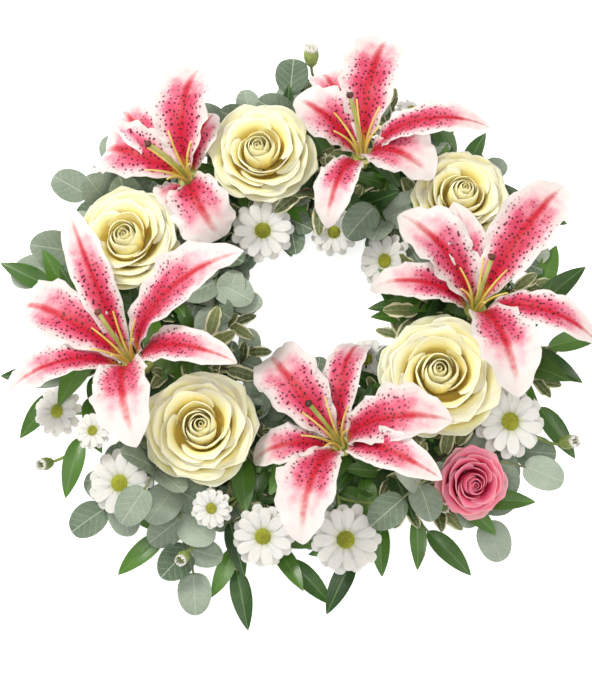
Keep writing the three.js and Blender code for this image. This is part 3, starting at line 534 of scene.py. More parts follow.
# the foam's sizes, then those of the tray round it, then how the stems stand in the foam
ring = {
    "radius": 115, "halfWidth": 32, "floor": 2.3, "top": 50, "shoulder": 12,
    "wall": 2, "height": 22, "gap": 0.3, "rim": 0.6, "corner": 1.5,
    "rootDepth": 14, "leanLift": 16, "mouth": 2.5, "rootSpacing": 3.4,
}
rootAngles = []
roots = []


def levelWay(turn):
    return Vector((math.cos(turn), math.sin(turn), 0))


# Where a stem stands in the foam: its foot, its mouth at the surface and its direction.
def rootOf(wanted, lean):
    step = 0
    while True:
        angle = wanted + (0.5 if step % 2 else -0.5) * step
        if all(abs(((angle - used) % 360 + 540) % 360 - 180) >= ring["rootSpacing"] for used in rootAngles):
            break
        step += 1
    rootAngles.append(angle)
    turn = math.radians(angle)
    tilt = math.radians(lean)
    toward = levelWay(turn) * math.sin(tilt) + up * math.cos(tilt)
    foot = levelWay(turn) * ring["radius"]
    foot.z = ring["rootDepth"] + ring["leanLift"] * abs(math.sin(tilt))
    wayUp = (ring["top"] - foot.z) / math.cos(tilt)
    wayOut = ring["halfWidth"] / max(abs(math.sin(tilt)), 0.01)
    mouth = foot + toward * (min(wayUp, wayOut) + ring["mouth"])
    roots.append(mouth)
    return foot, mouth, toward


def stemCurve(root, end, arriving, slack=0.35):
    foot, mouth, toward = root
    reach = (mouth - end).length * slack
    leaving = ((end - mouth).normalized() + toward).normalized()
    return bezier(mouth, mouth + leaving * reach, end - arriving * reach, end)


# in degrees of lean for each millimetre that a bloom stands off the middle of the foam
bloomLean = {"slope": 0.9, "least": -40, "most": 58}


def bloomRoot(x, y):
    lean = (math.hypot(x, y) - ring["radius"]) * bloomLean["slope"]
    lean = min(max(lean, bloomLean["least"]), bloomLean["most"])
    return rootOf(math.degrees(math.atan2(y, x)), lean)


# The petals from the heart outwards. Each rises from base to height as wide as belly, neck and lip say, and
# its last part rolls out by curl.
roseLayers = table(("count", "halfAngle", "base", "belly", "neck", "lip", "height", "curl", "turn", "tint"), [
    (2, 165, 8, 2.6, 2.8, 1, 41.5, 0.2, 0, 0.02),
    (3, 120, 8, 5.4, 5.6, 2.7, 43, 0.5, 50, 0.05),
    (3, 104, 7, 8.8, 9, 5.2, 43, 0.8, 10, 0.1),
    (3, 90, 6, 12.4, 13, 8.6, 41, 1.3, 70, 0.2),
    (2, 72, 5, 15.4, 16.8, 13.6, 38, 2.2, 25, 0.32),
    (4, 66, 4, 18.6, 20.6, 20.6, 41.5, 4.6, 40, 0.5),
    (5, 58, 2.5, 22.5, 25, 25.4, 38.5, 5.8, 0, 0.65),
    (5, 54, 1, 26.5, 30, 31, 34, 6.8, 30, 0.8),
    (5, 42, 0, 27, 33, 37.5, 25, 4.6, 62, 1),
])
roseShape = {
    "rollsFrom": 0.68, "rollTurn": 112, "point": 3, "wave": 0.26, "spiral": 0.13, "flat": 0.1, "drop": 0.2,
    "thickness": 0.8, "length": 50, "offCentre": 2.4, "heartLayers": 5, "heartGrid": (12, 12),
    "grid": (18, 16),
}


# A rose petal from the heart to the lip, with its edge rolled back and a small point in the middle.
def cupAt(bloom, petal, seed):
    origin, axis = bloom[0], bloom[1]

    def point(s, t):
        s *= 1 - roseShape["drop"] * abs(t) ** 3
        a, b, c, d = (1 - s) ** 3, 3 * s * (1 - s) ** 2, 3 * s * s * (1 - s), s**3
        radius = 3 * a + 1.2 * petal["belly"] * b + petal["neck"] * c + petal["lip"] * d
        radius *= 1 - roseShape["flat"] * t * t
        radius += roseShape["spiral"] * petal["neck"] * t * math.sqrt(s)
        height = (a + b) * petal["base"] + 0.78 * petal["height"] * c
        height += d * petal["height"] * (1 - 0.1 * t * t)
        rolled = max(0, (s - roseShape["rollsFrom"]) / (1 - roseShape["rollsFrom"]))
        turn = math.radians(roseShape["rollTurn"]) * rolled
        curl = petal["curl"] * (1 + 0.3 * math.sin(2.5 * t + seed))
        radius += curl * math.sin(turn)
        height -= curl * (1 - math.cos(turn))
        radius += roseShape["point"] * petal["curl"] / 6 * rolled**2 * max(0, 1 - 4 * abs(t))
        height += roseShape["wave"] * petal["curl"] * math.sin(6 * t + seed * 1.7) * rolled
        outward = spoke(bloom, petal["heading"] + t * petal["halfAngle"] * (1 - (1 - s) ** 3))
        width = radius * math.radians(petal["halfAngle"])
        return origin + outward * radius + axis * height, outward, width

    return point


def addRose(piece, bloom, scale, seed, close):
    aside = spoke(bloom, 200 + 77 * seed) * roseShape["offCentre"]
    for n, layer in enumerate(roseLayers):
        heart = (bloom[0] + aside * max(0, 1 - n / roseShape["heartLayers"]), *bloom[1:])
        rows, columns = roseShape["heartGrid" if n < roseShape["heartLayers"] else "grid"]
        length = roseShape["length"] * scale
        for k in range(layer["count"]):
            change = draw(seed, n, k + 20)
            petal = {key: value * scale for key, value in layer.items()}
            for key in ("belly", "neck", "lip"):
                petal[key] *= close * (0.97 + 0.06 * change)
            petal["heading"] = layer["turn"] + 40 * seed + 360 * k / layer["count"]
            petal["heading"] += 14 * (draw(seed, n, k) - 0.5)
            petal["halfAngle"] = layer["halfAngle"]
            petal["curl"] *= 0.75 + 0.5 * draw(seed, n, k + 40)
            petal["height"] += 1.6 * scale * (draw(seed, n, k + 60) - 0.5)
            shape = cupAt(heart, petal, 9 * change + k)
            piece.addSheet(rows, columns, shape, roseShape["thickness"], length, layer["tint"])


sepal = {
    "length": 22, "width": 7, "start": 5, "end": -22, "rise": 0.4, "fall": 0.9, "cup": 0.15,
    "wave": 0.4, "waves": 2, "phase": 0.3,
}


def addRoseStem(piece, root, bloom, scale, seed):
    top = bloom[0] - bloom[1] * ring["gap"]
    under = top - bloom[1] * 3
    radius = 3 if scale > 0.8 else 2.4
    blade = {**sepal, "length": sepal["length"] * scale, "width": sepal["width"] * scale}
    piece.addTube([root[0], *steps(stemCurve(root, under, bloom[1]), 14), top], radius, 10)
    piece.addTurned([(0, -4), (3.5, -3), (4.6, -1.5), (4.2, 0)], top, bloom[1], 16)
    for k in range(5):
        outward = spoke(bloom, 72 * k + 30 * draw(seed, 7, 0))
        piece.addSheet(10, 6, bladeAt((under, outward, bloom[1]), blade), 0.8, blade["length"], k / 5)


lilyShape = {"throat": 12, "waves": 2.2, "cup": 0.3, "thickness": 1.1, "groove": 1.2, "filament": 1.1}
# the outer tepals, which are narrow and lie flatter and lower, then the wide inner ones
tepalKinds = table(("width", "out", "lift", "rise", "fall", "wave", "fray", "ruffle", "apart", "bowl"), [
    (31, 6.6, 0.5, 1.1, 0.8, 1.6, 0.04, 1.2, -0.8, 0.4),
    (46, 5, 1.5, 1.25, 0.85, 3.2, 0.07, 2.4, 0.8, 1),
])
# changes of a tepal's curl in degrees, and parts of its reach
tepalTries = [
    (0, 1), (-25, 1), (-50, 1), (25, 0.95), (-35, 0.85), (-60, 0.85), (-75, 0.9), (-80, 0.7), (-90, 0.55),
]


def tepalOf(bloom, lily, k, attempt):
    change, shrink = tepalTries[attempt]
    kind = tepalKinds[k % 2]
    reach = lily["reach"][k] * shrink
    curl = max(118 + (104 - lily["reach"][k]) * 1.2 + change, 40)
    arc = math.radians(curl - lilyShape["throat"])
    outward = spoke(bloom, lily["headings"][k])
    origin = bloom[0] + outward * kind["out"] + bloom[1] * kind["lift"]
    spread = math.cos(math.radians(lilyShape["throat"])) - math.cos(math.radians(curl))
    blade = {
        **kind, "length": reach * arc / spread, "start": -lilyShape["throat"], "end": -curl,
        "cup": lilyShape["cup"], "waves": lilyShape["waves"], "phase": draw(lily["seed"], k, 3),
    }
    return (origin, bloom[1], -outward), blade


def addLily(piece, bloom, lily):
    receptacle = [(0, -1), (5.5, -1), (7.5, 1.2), (8.6, 3.5), (5, 3.9), (4, 3.4)]
    piece.addTurned(receptacle, bloom[0], bloom[1], 24, 1)
    for k in range(6):
        for attempt in range(len(tepalTries)):
            place, blade = tepalOf(bloom, lily, k, attempt)
            if stands(piece.name, bladeAt(place, blade)(1, 0)[0]):
                addTepal(piece, bloom, place, blade, k, 6.28 * draw(lily["seed"], k, 5))
                break
        else:
            print(piece.name, "tepal", k, "isn't in the solids")


def addTepal(piece, bloom, place, blade, k, seed):
    def relief(s, t, half):
        ruffle = math.sin(2 * math.pi * 6.5 * s + seed + 2 * t) + 0.6 * math.sin(2 * math.pi * 11 * s - seed)
        ruffle *= abs(t) ** 3 * blade["ruffle"] * math.sin(math.pi * s)
        rib = math.exp(-((t * half / 1.6) ** 2)) * (1 - s) ** 0.5
        folds = 0.25 * math.cos(t * 12 + seed) * math.sin(math.pi * s)
        return ruffle - lilyShape["groove"] * rib * min(1, 8 * s) + folds

    place = (place[0] + bloom[1] * blade["apart"], *place[1:])
    blade["cup"] *= blade["bowl"]
    shape = bladeAt(place, blade, relief)
    piece.addSheet(34, 16, shape, lilyShape["thickness"], blade["length"], 0.1 + 0.13 * k)


def addLilyStem(piece, root, bloom, lily):
    origin, axis = bloom[0], bloom[1]
    green, pale, dark = 0, 1, 2
    under = origin - axis * 6
    piece.addTube([root[0], *steps(stemCurve(root, under, axis), 14), origin - axis * 1.4], 3.2, 12, green)
    ovary = [(0, -2), (2.7, -2), (2.7, 4), (4, 4.4), (4.2, 5.4), (3.6, 6.5), (0, 6.6)]
    piece.addTurned(ovary, origin, axis, 18, green)
    throat = origin + axis * 6
    sideways = spoke(bloom, lily["style"])
    tip = origin + axis * 62 + sideways * 10
    middle = origin + axis * 36 - sideways * 2
    piece.addTube(bend(throat - axis, middle, tip, 12), lambda s: 1.3 + 0.5 * s, 10, green)
    toward = (tip - middle).normalized()
    piece.addTurned([(0, -1.5), (2.2, -0.8), (3, 0.6), (2.7, 2), (1.2, 2.9), (0, 2.6)], tip, toward, 18, dark)
    for k in range(3):
        lobe = tip + toward * 1.2 + squareTo(toward, spoke(bloom, 120 * k + 20)) * 1.4
        piece.addTurned([(0, -1.6), (1.4, -0.8), (1.6, 0.6), (0.8, 1.7), (0, 1.9)], lobe, toward, 12, dark)
    for k in range(6):
        outward = spoke(bloom, 60 * k + 30)
        end = origin + axis * (44 + 4 * draw(lily["seed"], k, 9)) + outward * 20
        start = throat - axis + outward * 3
        path = bend(start, origin + axis * 26 + outward * 5, end, 10)
        piece.addTube(path, lambda s: lilyShape["filament"] * (1.15 - 0.6 * s), 8, pale)


# how much higher or lower than wanted a head may stand
headTries = [0, 6, -6, 12, -12, 18, 24, 30]
# width: for each millimetre of the head's radius
daisyShape = {"layers": 2, "petals": 11, "width": 0.36, "thickness": 0.8, "florets": 90}
goldenTurn = 137.508


def addDaisy(piece, bloom, radius, seed):
    origin, axis = bloom[0], bloom[1]
    for layer in range(daisyShape["layers"]):
        for k in range(daisyShape["petals"]):
            heading = 360 * (k + 0.5 * layer) / daisyShape["petals"] + 9 * (draw(seed, k, 4 + layer) - 0.5)
            outward = spoke(bloom, heading)
            length = radius * (0.8 - 0.1 * layer + 0.08 * draw(seed, k, 1 + layer))
            sag = 8 * (draw(seed, k, 2 + 3 * layer) - 0.4)
            blade = {
                "length": length, "width": radius * daisyShape["width"], "start": 6 + 14 * layer,
                "end": -16 + 12 * layer - sag, "rise": 0.55, "fall": 0.32,
                "cup": 0.14 - 0.2 * draw(seed, k, 7), "wave": 0.5, "waves": 1, "phase": draw(seed, k, 6),
            }

            def relief(s, t, half):
                return 0.3 * math.cos(t * 9) * math.sin(math.pi * s)

            place = (origin + outward * (radius * 0.13) + axis * (0.2 + 1.0 * layer), outward, axis)
            shape = bladeAt(place, blade, relief)
            piece.addSheet(9, 8, shape, daisyShape["thickness"], length, draw(seed, k, 8 + layer))


def addDisc(piece, bloom, radius, look):
    cup = [(0, -5), (0.08, -4), (0.13, -1), (0.13, 0.6)]
    dome = [(0.1, 0.4), (0.24, 1.2), (0.25, 2.2), (0.19, 3.5), (0.1, 4.2), (0, 4.1)]
    piece.addTurned([(radius * part, h) for part, h in cup], bloom[0], bloom[1], 16, 0)
    piece.addTurned([(radius * part, h) for part, h in dome], bloom[0], bloom[1], 24, look)
    for k in range(daisyShape["florets"]):
        part = math.sqrt((k + 0.5) / daisyShape["florets"])
        outward = spoke(bloom, goldenTurn * k)
        height = 4.3 - 2.4 * part**3
        spot = bloom[0] + outward * (radius * 0.25 * part) + bloom[1] * height
        size = radius * 0.017
        piece.addTurned([(size, -size), (size * 1.1, size * 0.6), (0, size * 1.5)], spot, bloom[1], 5, look)


budPetal = {"start": 82, "rise": 0.5, "fall": 0.4, "cup": -0.3, "wave": 0, "waves": 1, "phase": 0}
# the green petals of a bud, then the white ones inside them
budLayers = table(("length", "end", "out", "lift"), [(7, 104, 4.2, 1.5), (9, 94, 3.4, 2.7)])


def addBud(piece, bloom, size, seed, white):
    outline = [(0, -4), (1.2, -3.4), (3.6, -1.4), (4.5, 1.5), (4.4, 4), (3.4, 6), (0, 6)]
    piece.addTurned([(r * size, h * size) for r, h in outline], bloom[0], bloom[1], 20, 0)
    for k in range(10):
        for n, layer in enumerate(budLayers):
            outward = spoke(bloom, 36 * k + 18 * n)
            length = layer["length"] * size * (0.9 + 0.2 * draw(seed, k, n))
            blade = {**budPetal, "length": length, "width": 3.2 * size, "end": layer["end"]}
            foot = bloom[0] + outward * (layer["out"] * size) + bloom[1] * (layer["lift"] * size)
            shape = bladeAt((foot, outward, bloom[1]), blade)
            piece.addSheet(6, 4, shape, 0.7, length, 0.5, white if n else 0)


leafKinds = {
    "eucalyptus": {
        "length": 34, "width": 27, "rise": 0.42, "fall": 0.5, "cup": 0.12, "wave": 0.5, "waves": 1,
        "ripple": 0.25, "pairs": True, "spacing": 21, "splay": 58,
    },
    "ruscus": {
        "length": 50, "width": 17, "rise": 0.62, "fall": 0.95, "cup": 0.3, "wave": 0.6, "waves": 1,
        "ripple": 0.15, "pairs": False, "spacing": 17, "splay": 40,
    },
    "pittosporum": {
        "length": 27, "width": 12, "rise": 0.5, "fall": 0.6, "cup": 0.1, "wave": 2, "waves": 2,
        "ripple": 0.7, "pairs": False, "spacing": 10.5, "splay": 52,
    },
}
leafStems = {"eucalyptus": "leafStem", "ruscus": "leafStem", "pittosporum": "brownStem"}
leafTries = 7
# how far aside and how much higher than wanted a shoot may end
tipTries = [
    (0, 0), (0, 9), (0, -8), (9, 4), (-9, 4), (0, 18), (16, 10), (-16, 10), (26, 4), (-26, 4), (0, 30),
]
# degrees that a leaf is bent by, and parts of its size, to keep it clear of the blooms
bendTries = [
    (0, 1), (-14, 1), (14, 1), (-28, 1), (28, 1), (-28, 0.8), (-42, 0.8), (-28, 0.6), (0, 0.5),
    (-50, 0.5), (40, 0.4), (-40, 0.3),
]


# start, end and droop: a leaf's bow in degrees; splay: how it stands off its stem, at the tip of a shoot and
# changed by chance; turnStep: how each try turns it; the rest are parts of its kind's size
leafPose = {
    "start": 12, "end": -4, "droop": 26, "tipSplay": 6, "splayChange": 24, "turnStep": 24,
    "tipSize": 0.95, "leastSize": 0.8, "sizeChange": 0.35, "lateSize": 0.75,
}


# A leaf at a spot on its stem, which runs along way; late tries make it smaller.
def leafOf(kind, spot, way, number, shoot, leaf, attempt):
    seed = number * 10 + shoot

    def chance(n):
        return draw(seed, leaf, attempt * 7 + n)

    last = leaf == 0
    level = squareTo(way, up)
    side = level.cross(way)
    if kind["pairs"]:
        heading = (0 if leaf % 2 else 180) + (35 if leaf % 4 > 1 else -10) + 50 * (chance(0) - 0.5)
    else:
        heading = 137.5 * leaf + 60 * (chance(0) - 0.5)
    turn = math.radians(heading + attempt * leafPose["turnStep"])
    out = (side * math.cos(turn) + level * (abs(math.sin(turn)) * 0.8)).normalized()
    splay = leafPose["tipSplay"] if last else kind["splay"] + leafPose["splayChange"] * (chance(1) - 0.5)
    splay = math.radians(splay)
    along = (way * math.cos(splay) + out * math.sin(splay)).normalized()
    size = leafPose["tipSize"] if last else leafPose["leastSize"] + leafPose["sizeChange"] * chance(2)
    size *= leafPose["lateSize"] if attempt > 4 else 1
    blade = {
        **kind, "length": kind["length"] * size, "width": kind["width"] * size, "start": leafPose["start"],
        "end": leafPose["end"] - leafPose["droop"] * chance(3), "phase": chance(4),
    }
    return (spot + along * (-2 if last else 0), along, squareTo(along, level)), blade


def addLeaf(piece, place, blade, own, rows=14, columns=8):
    def relief(s, t, half):
        crease = -0.5 * math.exp(-((t * half / 0.8) ** 2)) * math.sin(math.pi * min(1, s * 1.1))
        edge = blade["ripple"] * abs(t) ** 3 * math.sin(2 * math.pi * 4.5 * s + own * 40)
        return crease + edge

    piece.addSheet(rows, columns, bladeAt(place, blade, relief), 0.8, blade["length"], own)


# A leaf bent, or else made smaller, until it is clear of the full blooms.
def clearOfBlooms(place, blade):
    for bow, part in bendTries:
        tried = {**blade, "start": blade["start"] + bow, "end": blade["end"] + bow}
        for key in ("length", "width"):
            tried[key] *= part
        if not meetsBloom(bladeAt(place, tried)):
            break
    return tried


def leafPiece(name, kindName):
    return Piece(name, kindName, leafStems[kindName])


# The curve of a shoot to the first place for its tip that stands in the solids, with the leaf there.
def shootOf(name, kind, root, tip, number, n):
    for aside, lift in tipTries:
        end = tip + up * lift
        way = (end - root[1]).normalized()
        end += up.cross(way).normalized() * aside
        arriving = Vector((end.x - root[1].x, end.y - root[1].y, 0)).normalized() + up * -0.12
        arriving.normalize()
        place, blade = leafOf(kind, end, arriving, number, n, 0, 0)
        if stands(name, bladeAt(place, blade)(1, 0)[0]):
            return stemCurve(root, end, arriving, 0.3), place, blade


def addSpray(piece, kind, root, shoots, number):
    first = True
    for n, tip in enumerate(shoots):
        found = shootOf(piece.name, kind, root, Vector(tip), number, n)
        if not found:
            print(piece.name, "shoot", n, "isn't in the solids")
            continue
        curve, place, blade = found
        path = steps(curve, 16)
        piece.addTube([root[0], *path] if first else path, lambda s: 1.45 - 0.6 * s, 7, 1)
        first = False
        addLeaf(piece, place, clearOfBlooms(place, blade), draw(number, n, 91))
        points = steps(curve, 200)
        length = sum((b - a).length for a, b in zip(points, points[1:]))
        spots = math.floor(length / kind["spacing"]) * (2 if kind["pairs"] else 1)
        for k in range(1, spots + 1):
            t = math.ceil(k / 2) / (spots / 2 + 0.6) if kind["pairs"] else k / (spots + 0.6)
            near = (curve(1 - t + 0.0001) - curve(1 - t - 0.0001)).normalized()
            for again in range(leafTries):
                place, blade = leafOf(kind, curve(1 - t), near, number, n, k, again)
                if stands(piece.name, bladeAt(place, blade)(1, 0)[0]):
                    addLeaf(piece, place, clearOfBlooms(place, blade), draw(number, n + 7, k))
                    break


# Where everything stands: x to the right, y up the wreath, z the height of the bloom's foot.
# The last rose is the pink one.
roses = table(("at", "lean", "scale"), [
    ((-41, 112, 61), (-0.05, 0.1), 0.97),
    ((-139, 43, 61), (-0.15, 0.1), 1),
    ((-86, -99, 61), (-0.05, -0.05), 1.03),
    ((106, 77, 61), (0.12, 0.1), 0.92),
    ((91, -60, 61), (0.02, -0.02), 1.1),
    ((110, -132, 52), (0.3, -0.35), 0.72),
])
# style: the way the style leans; headings and reach: where each tepal points and how far it goes
lilies = table(("at", "lean", "style", "headings", "reach"), [
    ((-96, 97, 66), (-0.35, 0.14), 160, [62, 80, 130, 156, 244, 296], [46, 80, 74, 68, 46, 50]),
    ((35, 114, 66), (-0.12, 0.42), 110, [358, 76, 112, 146, 248, 326], [92, 90, 76, 58, 66, 60]),
    ((118, -6, 66), (0.12, 0.28), 70, [338, 54, 108, 136, 174, 288], [88, 102, 74, 80, 74, 84]),
    ((19, -111, 66), (-0.32, 0.24), 135, [328, 358, 78, 124, 186, 254], [92, 86, 82, 84, 60, 84]),
    ((-137, -48, 64), (-0.35, 0.36), 120, [338, 20, 104, 148, 196, 278], [94, 110, 92, 92, 90, 84]),
])
# angle: where the stem stands in the ring; lean: its tilt outwards. A head has a place, a radius and a lean,
# and a bud a place, a size and a lean.
daisySprays = table(("angle", "lean", "heads", "buds"), [
    (210, 55, [
        ((-166, -100, 74), 15, (-0.3, 0)), ((-146, -136, 58), 27, (-0.35, -0.2)),
        ((-194, -78, 46), 21, (-0.5, -0.1)),
    ], [((-200, -118, 48), 1, (-0.9, -0.5))]),
    (249, 55, [((-78, -158, 72), 16, (-0.1, -0.3)), ((-40, -176, 58), 25, (-0.1, -0.35))],
     [((-98, -188, 46), 1, (-0.5, -0.8))]),
    (277, 50, [((21, -178, 56), 28, (0, -0.35))], [((92, -152, 58), 0.9, (0.3, -0.6))]),
    (329, 55, [((143, -90, 62), 29, (0.3, -0.1))], [((184, -104, 52), 1.1, (1.2, 0))]),
    (126, -48, [((-41, 58, 64), 25, (0.1, -0.25))], []),
    (52, -48, [((13, 60, 54), 19, (0, -0.35)), ((52, 36, 58), 22, (-0.45, -0.25))], []),
    (84, 50, [((72, 152, 66), 14, (0.5, 0.9))],
     [((-4, 198, 60), 1.2, (0, 1.3)), ((16, 180, 66), 0.75, (0.1, 0.9))]),
    (318, -50, [((38, -40, 58), 18, (-0.4, 0.1))], []),
])
# angle and lean as above, then where the shoots end
foliage = {
    "eucalyptus": [
        (152, 52, [(-176, 92, 46), (-204, 36, 42), (-150, 118, 36)]),
        (98, 42, [(-20, 172, 56), (12, 172, 40), (-72, 150, 40)]),
        (147, -40, [(-98, 44, 66), (-86, 16, 56), (-78, -2, 50)]),
        (240, -35, [(-46, -74, 66), (-24, -88, 58), (-6, -72, 52)]),
        (228, 60, [(-92, -200, 30), (-128, -146, 78), (-160, -150, 30)]),
        (313, 58, [(156, -122, 50), (150, -106, 34), (128, -160, 34), (62, -152, 44)]),
        (60, -42, [(42, 74, 60), (66, 52, 50)]),
    ],
    "ruscus": [
        (186, 62, [(-200, 18, 36), (-196, -60, 30), (-186, -96, 40)]),
        (244, 62, [(-116, -168, 28), (-60, -196, 24), (-20, -190, 30)]),
        (293, 62, [(26, -190, 28), (84, -168, 30), (112, -160, 34)]),
        (347, 62, [(168, -76, 44), (176, -28, 46), (168, 14, 40)]),
        (40, 55, [(104, 124, 42), (150, 84, 36)]),
    ],
    "pittosporum": [
        (208, -32, [(-80, -24, 60), (-66, -50, 62)]),
        (84, -32, [(2, 78, 64), (-14, 84, 66)]),
        (14, -30, [(66, 20, 70), (70, -14, 66)]),
        (300, 48, [(92, -150, 46), (124, -120, 56)]),
    ],
}

print("placing the roses")
for n, rose in enumerate(roses):
    pink = n == len(roses) - 1
    name = "pink_rose" if pink else f"rose_{n + 1}"
    bloom = bloomFrame(*rose["at"], rose["lean"])
    root = bloomRoot(*rose["at"][:2])
    petals = Piece(name + "_petals", "rosePink" if pink else "roseCream")
    addRose(petals, bloom, rose["scale"], n, 0.9 if pink else 1)
    petals.finish("rose_pink" if pink else "rose_cream", petals.name, isBloom=True)
    stem = Piece(name + "_stem", "stemGreen")
    addRoseStem(stem, root, bloom, rose["scale"], n)
    stem.finish("rose_green", stem.name)

print("placing the lilies")
for n, lily in enumerate(lilies):
    lily["seed"] = 40 + n
    bloom = bloomFrame(*lily["at"], lily["lean"])
    root = bloomRoot(*lily["at"][:2])
    stem = Piece(f"lily_{n + 1}_stem", "lilyGreen", "filament", "stigma")
    addLilyStem(stem, root, bloom, lily)
    stem.finish("lily_green", stem.name)
    petals = Piece(f"lily_{n + 1}_petals", "lilyTepal", "lilyGreen")
    addLily(petals, bloom, lily)
    petals.finish("lily_pink", petals.name, isBloom=True)

print("placing the daisies")
headNumber = 0
for number, spray in enumerate(daisySprays):
    root = rootOf(spray["angle"], spray["lean"])
    green = Piece(f"daisy_spray_{number + 1}_stem", "daisyGreen", "daisyDisc", "daisyPetal")
    heads = [(*head, False) for head in spray["heads"]] + [(*bud, True) for bud in spray["buds"]]
    for k, (at, size, lean, isBud) in enumerate(heads):
        headNumber += 0 if isBud else 1
        for lift in headTries:
            bloom = bloomFrame(at[0], at[1], at[2] + lift, lean)
            if not stands(green.name, bloom[0] + bloom[1] * (11.4 * size if isBud else 4.6)):
                continue
            below = bloom[0] - bloom[1] * (2 if isBud else 4.2)
            path = steps(stemCurve(root, below, bloom[1]), 16)
            green.addTube(path if k else [root[0], *path], 1.2 if k else 1.4, 8, 0)
            if isBud:
                addBud(green, bloom, size, number * 10 + k, 2)
            else:
                addDisc(green, bloom, size, 1)
                petals = Piece(f"daisy_{headNumber}_petals", "daisyPetal")
                addDaisy(petals, bloom, size, number * 10 + k)
                petals.finish("daisy_white", petals.name, isBloom=True)
            break
        else:
            print(green.name, "head", k, "isn't in the solids")
    green.finish("daisy_green", green.name)

print("placing the foliage")
number = 0
for kindName, sprays in foliage.items():
    for n, (angle, lean, shoots) in enumerate(sprays, 1):
        number += 1
        piece = leafPiece(f"{kindName}_{n}", kindName)
        addSpray(piece, leafKinds[kindName], rootOf(angle, lean), shoots, number)
        piece.finish(kindName, piece.name)


# The outer half of a section, mirrored and spun round the ring.
def addRing(piece, half):
    section = [(ring["radius"] + r, h) for r, h in half + [(-r, h) for r, h in reversed(half)]]
    piece.addTurned([*section, section[0]], Vector((0, 0, 0)), up, 96)


print("turning the tray and the foam")
inside = ring["halfWidth"] + ring["gap"]
outside = inside + ring["wall"]
rim, height, corner = ring["rim"], ring["height"], ring["corner"]
tray = Piece("tray", "tray")
addRing(tray, [
    (outside - 1, 0), (outside, 1), (outside, height - rim), (outside - rim, height), (inside + rim, height),
    (inside, height - rim), (inside, ring["wall"] + corner), (inside - corner, ring["wall"]),
])
tray.finish("tray", "tray")
foam = Piece("foam", "foam")
addRing(foam, [
    (ring["halfWidth"], ring["floor"]), (ring["halfWidth"], 36), (30.5, 40), (27, 44.5), (22, 48), (17, 49.6),
    (8, ring["top"]),
])
foam.finish("foam", "foam")

# Short leaves and tufts of moss that hide the foam, and how far each keeps from the stems' mouths.
# slim: the share of slim leaves; flat: the part of the foam's width that is level; quarter: a quarter turn
filling = {
    "leaves": 560, "leafClear": 4.5, "slim": 0.62, "tufts": 2600, "tuftClear": 3, "flat": 0.6,
    "quarter": 1.57,
}
# How many sprigs stand over the ring's inner and outer edges, the size of their leaves, and the opening in
# the middle, which they keep out of.
sprigs = {"inner": 28, "outer": 34, "size": 0.72, "openingX": (-40, 32), "openingY": (-28, 37)}
seeds = {"leaves": 900, "moss": 901, "sprigs": 902}


# A spot on the foam for a turn round the ring and a part across it, with the way out of the foam there.
def onFoam(turn, across):
    part = max(-1, min(1, across))
    flat = ring["halfWidth"] - ring["shoulder"]
    past = (abs(part) - filling["flat"]) / (1 - filling["flat"])
    if past < 0:
        r, h, tilt = part / filling["flat"] * flat, ring["top"], 0
    else:
        bow = past * filling["quarter"]
        tilt = math.copysign(min(1.35, past * 1.6), part)
        r = math.copysign(flat + ring["shoulder"] * math.sin(bow), part)
        h = ring["top"] - ring["shoulder"] * (1 - math.cos(bow)) - max(0, past - 0.8) * 40
    spot = levelWay(turn) * (ring["radius"] + r) + up * h
    return spot, (levelWay(turn) * math.sin(tilt) + up * math.cos(tilt)).normalized()


def isFree(spot, clear):
    return all((spot - mouth).length >= clear for mouth in roots)


print("filling in between the stems")
pieces = {
    "pittosporum": leafPiece("filler_leaves", "pittosporum"),
    "ruscus": leafPiece("filler_ruscus", "ruscus"),
}
seed = seeds["leaves"]
for k in range(filling["leaves"]):
    turn = 2 * math.pi * (k + draw(seed, k, 0)) / filling["leaves"]
    spot, out = onFoam(turn, 2 * draw(seed, k, 1) - 1)
    if not isFree(spot, filling["leafClear"]):
        continue
    rise = math.radians(14 + 30 * draw(seed, k, 3))
    level = squareTo(out, levelWay(6.28 * draw(seed, k, 2)))
    along = (level * math.cos(rise) + out * math.sin(rise)).normalized()
    kindName = "ruscus" if draw(seed, k, 4) > filling["slim"] else "pittosporum"
    kind = leafKinds[kindName]
    size = 0.55 + 0.4 * draw(seed, k, 5)
    blade = {
        **kind, "length": kind["length"] * size, "width": kind["width"] * size * 1.15, "start": 10,
        "end": -20 - 30 * draw(seed, k, 6), "phase": draw(seed, k, 7),
    }
    place = (spot - out * 0.5, along, squareTo(along, out))
    if not meetsBloom(bladeAt(place, blade)):
        addLeaf(pieces[kindName], place, blade, draw(seed, k, 8), 6, 4)
for kindName, piece in pieces.items():
    piece.finish(kindName)


def inOpening(point):
    (left, right), (near, far) = sprigs["openingX"], sprigs["openingY"]
    return left < point.x < right and near < point.y < far


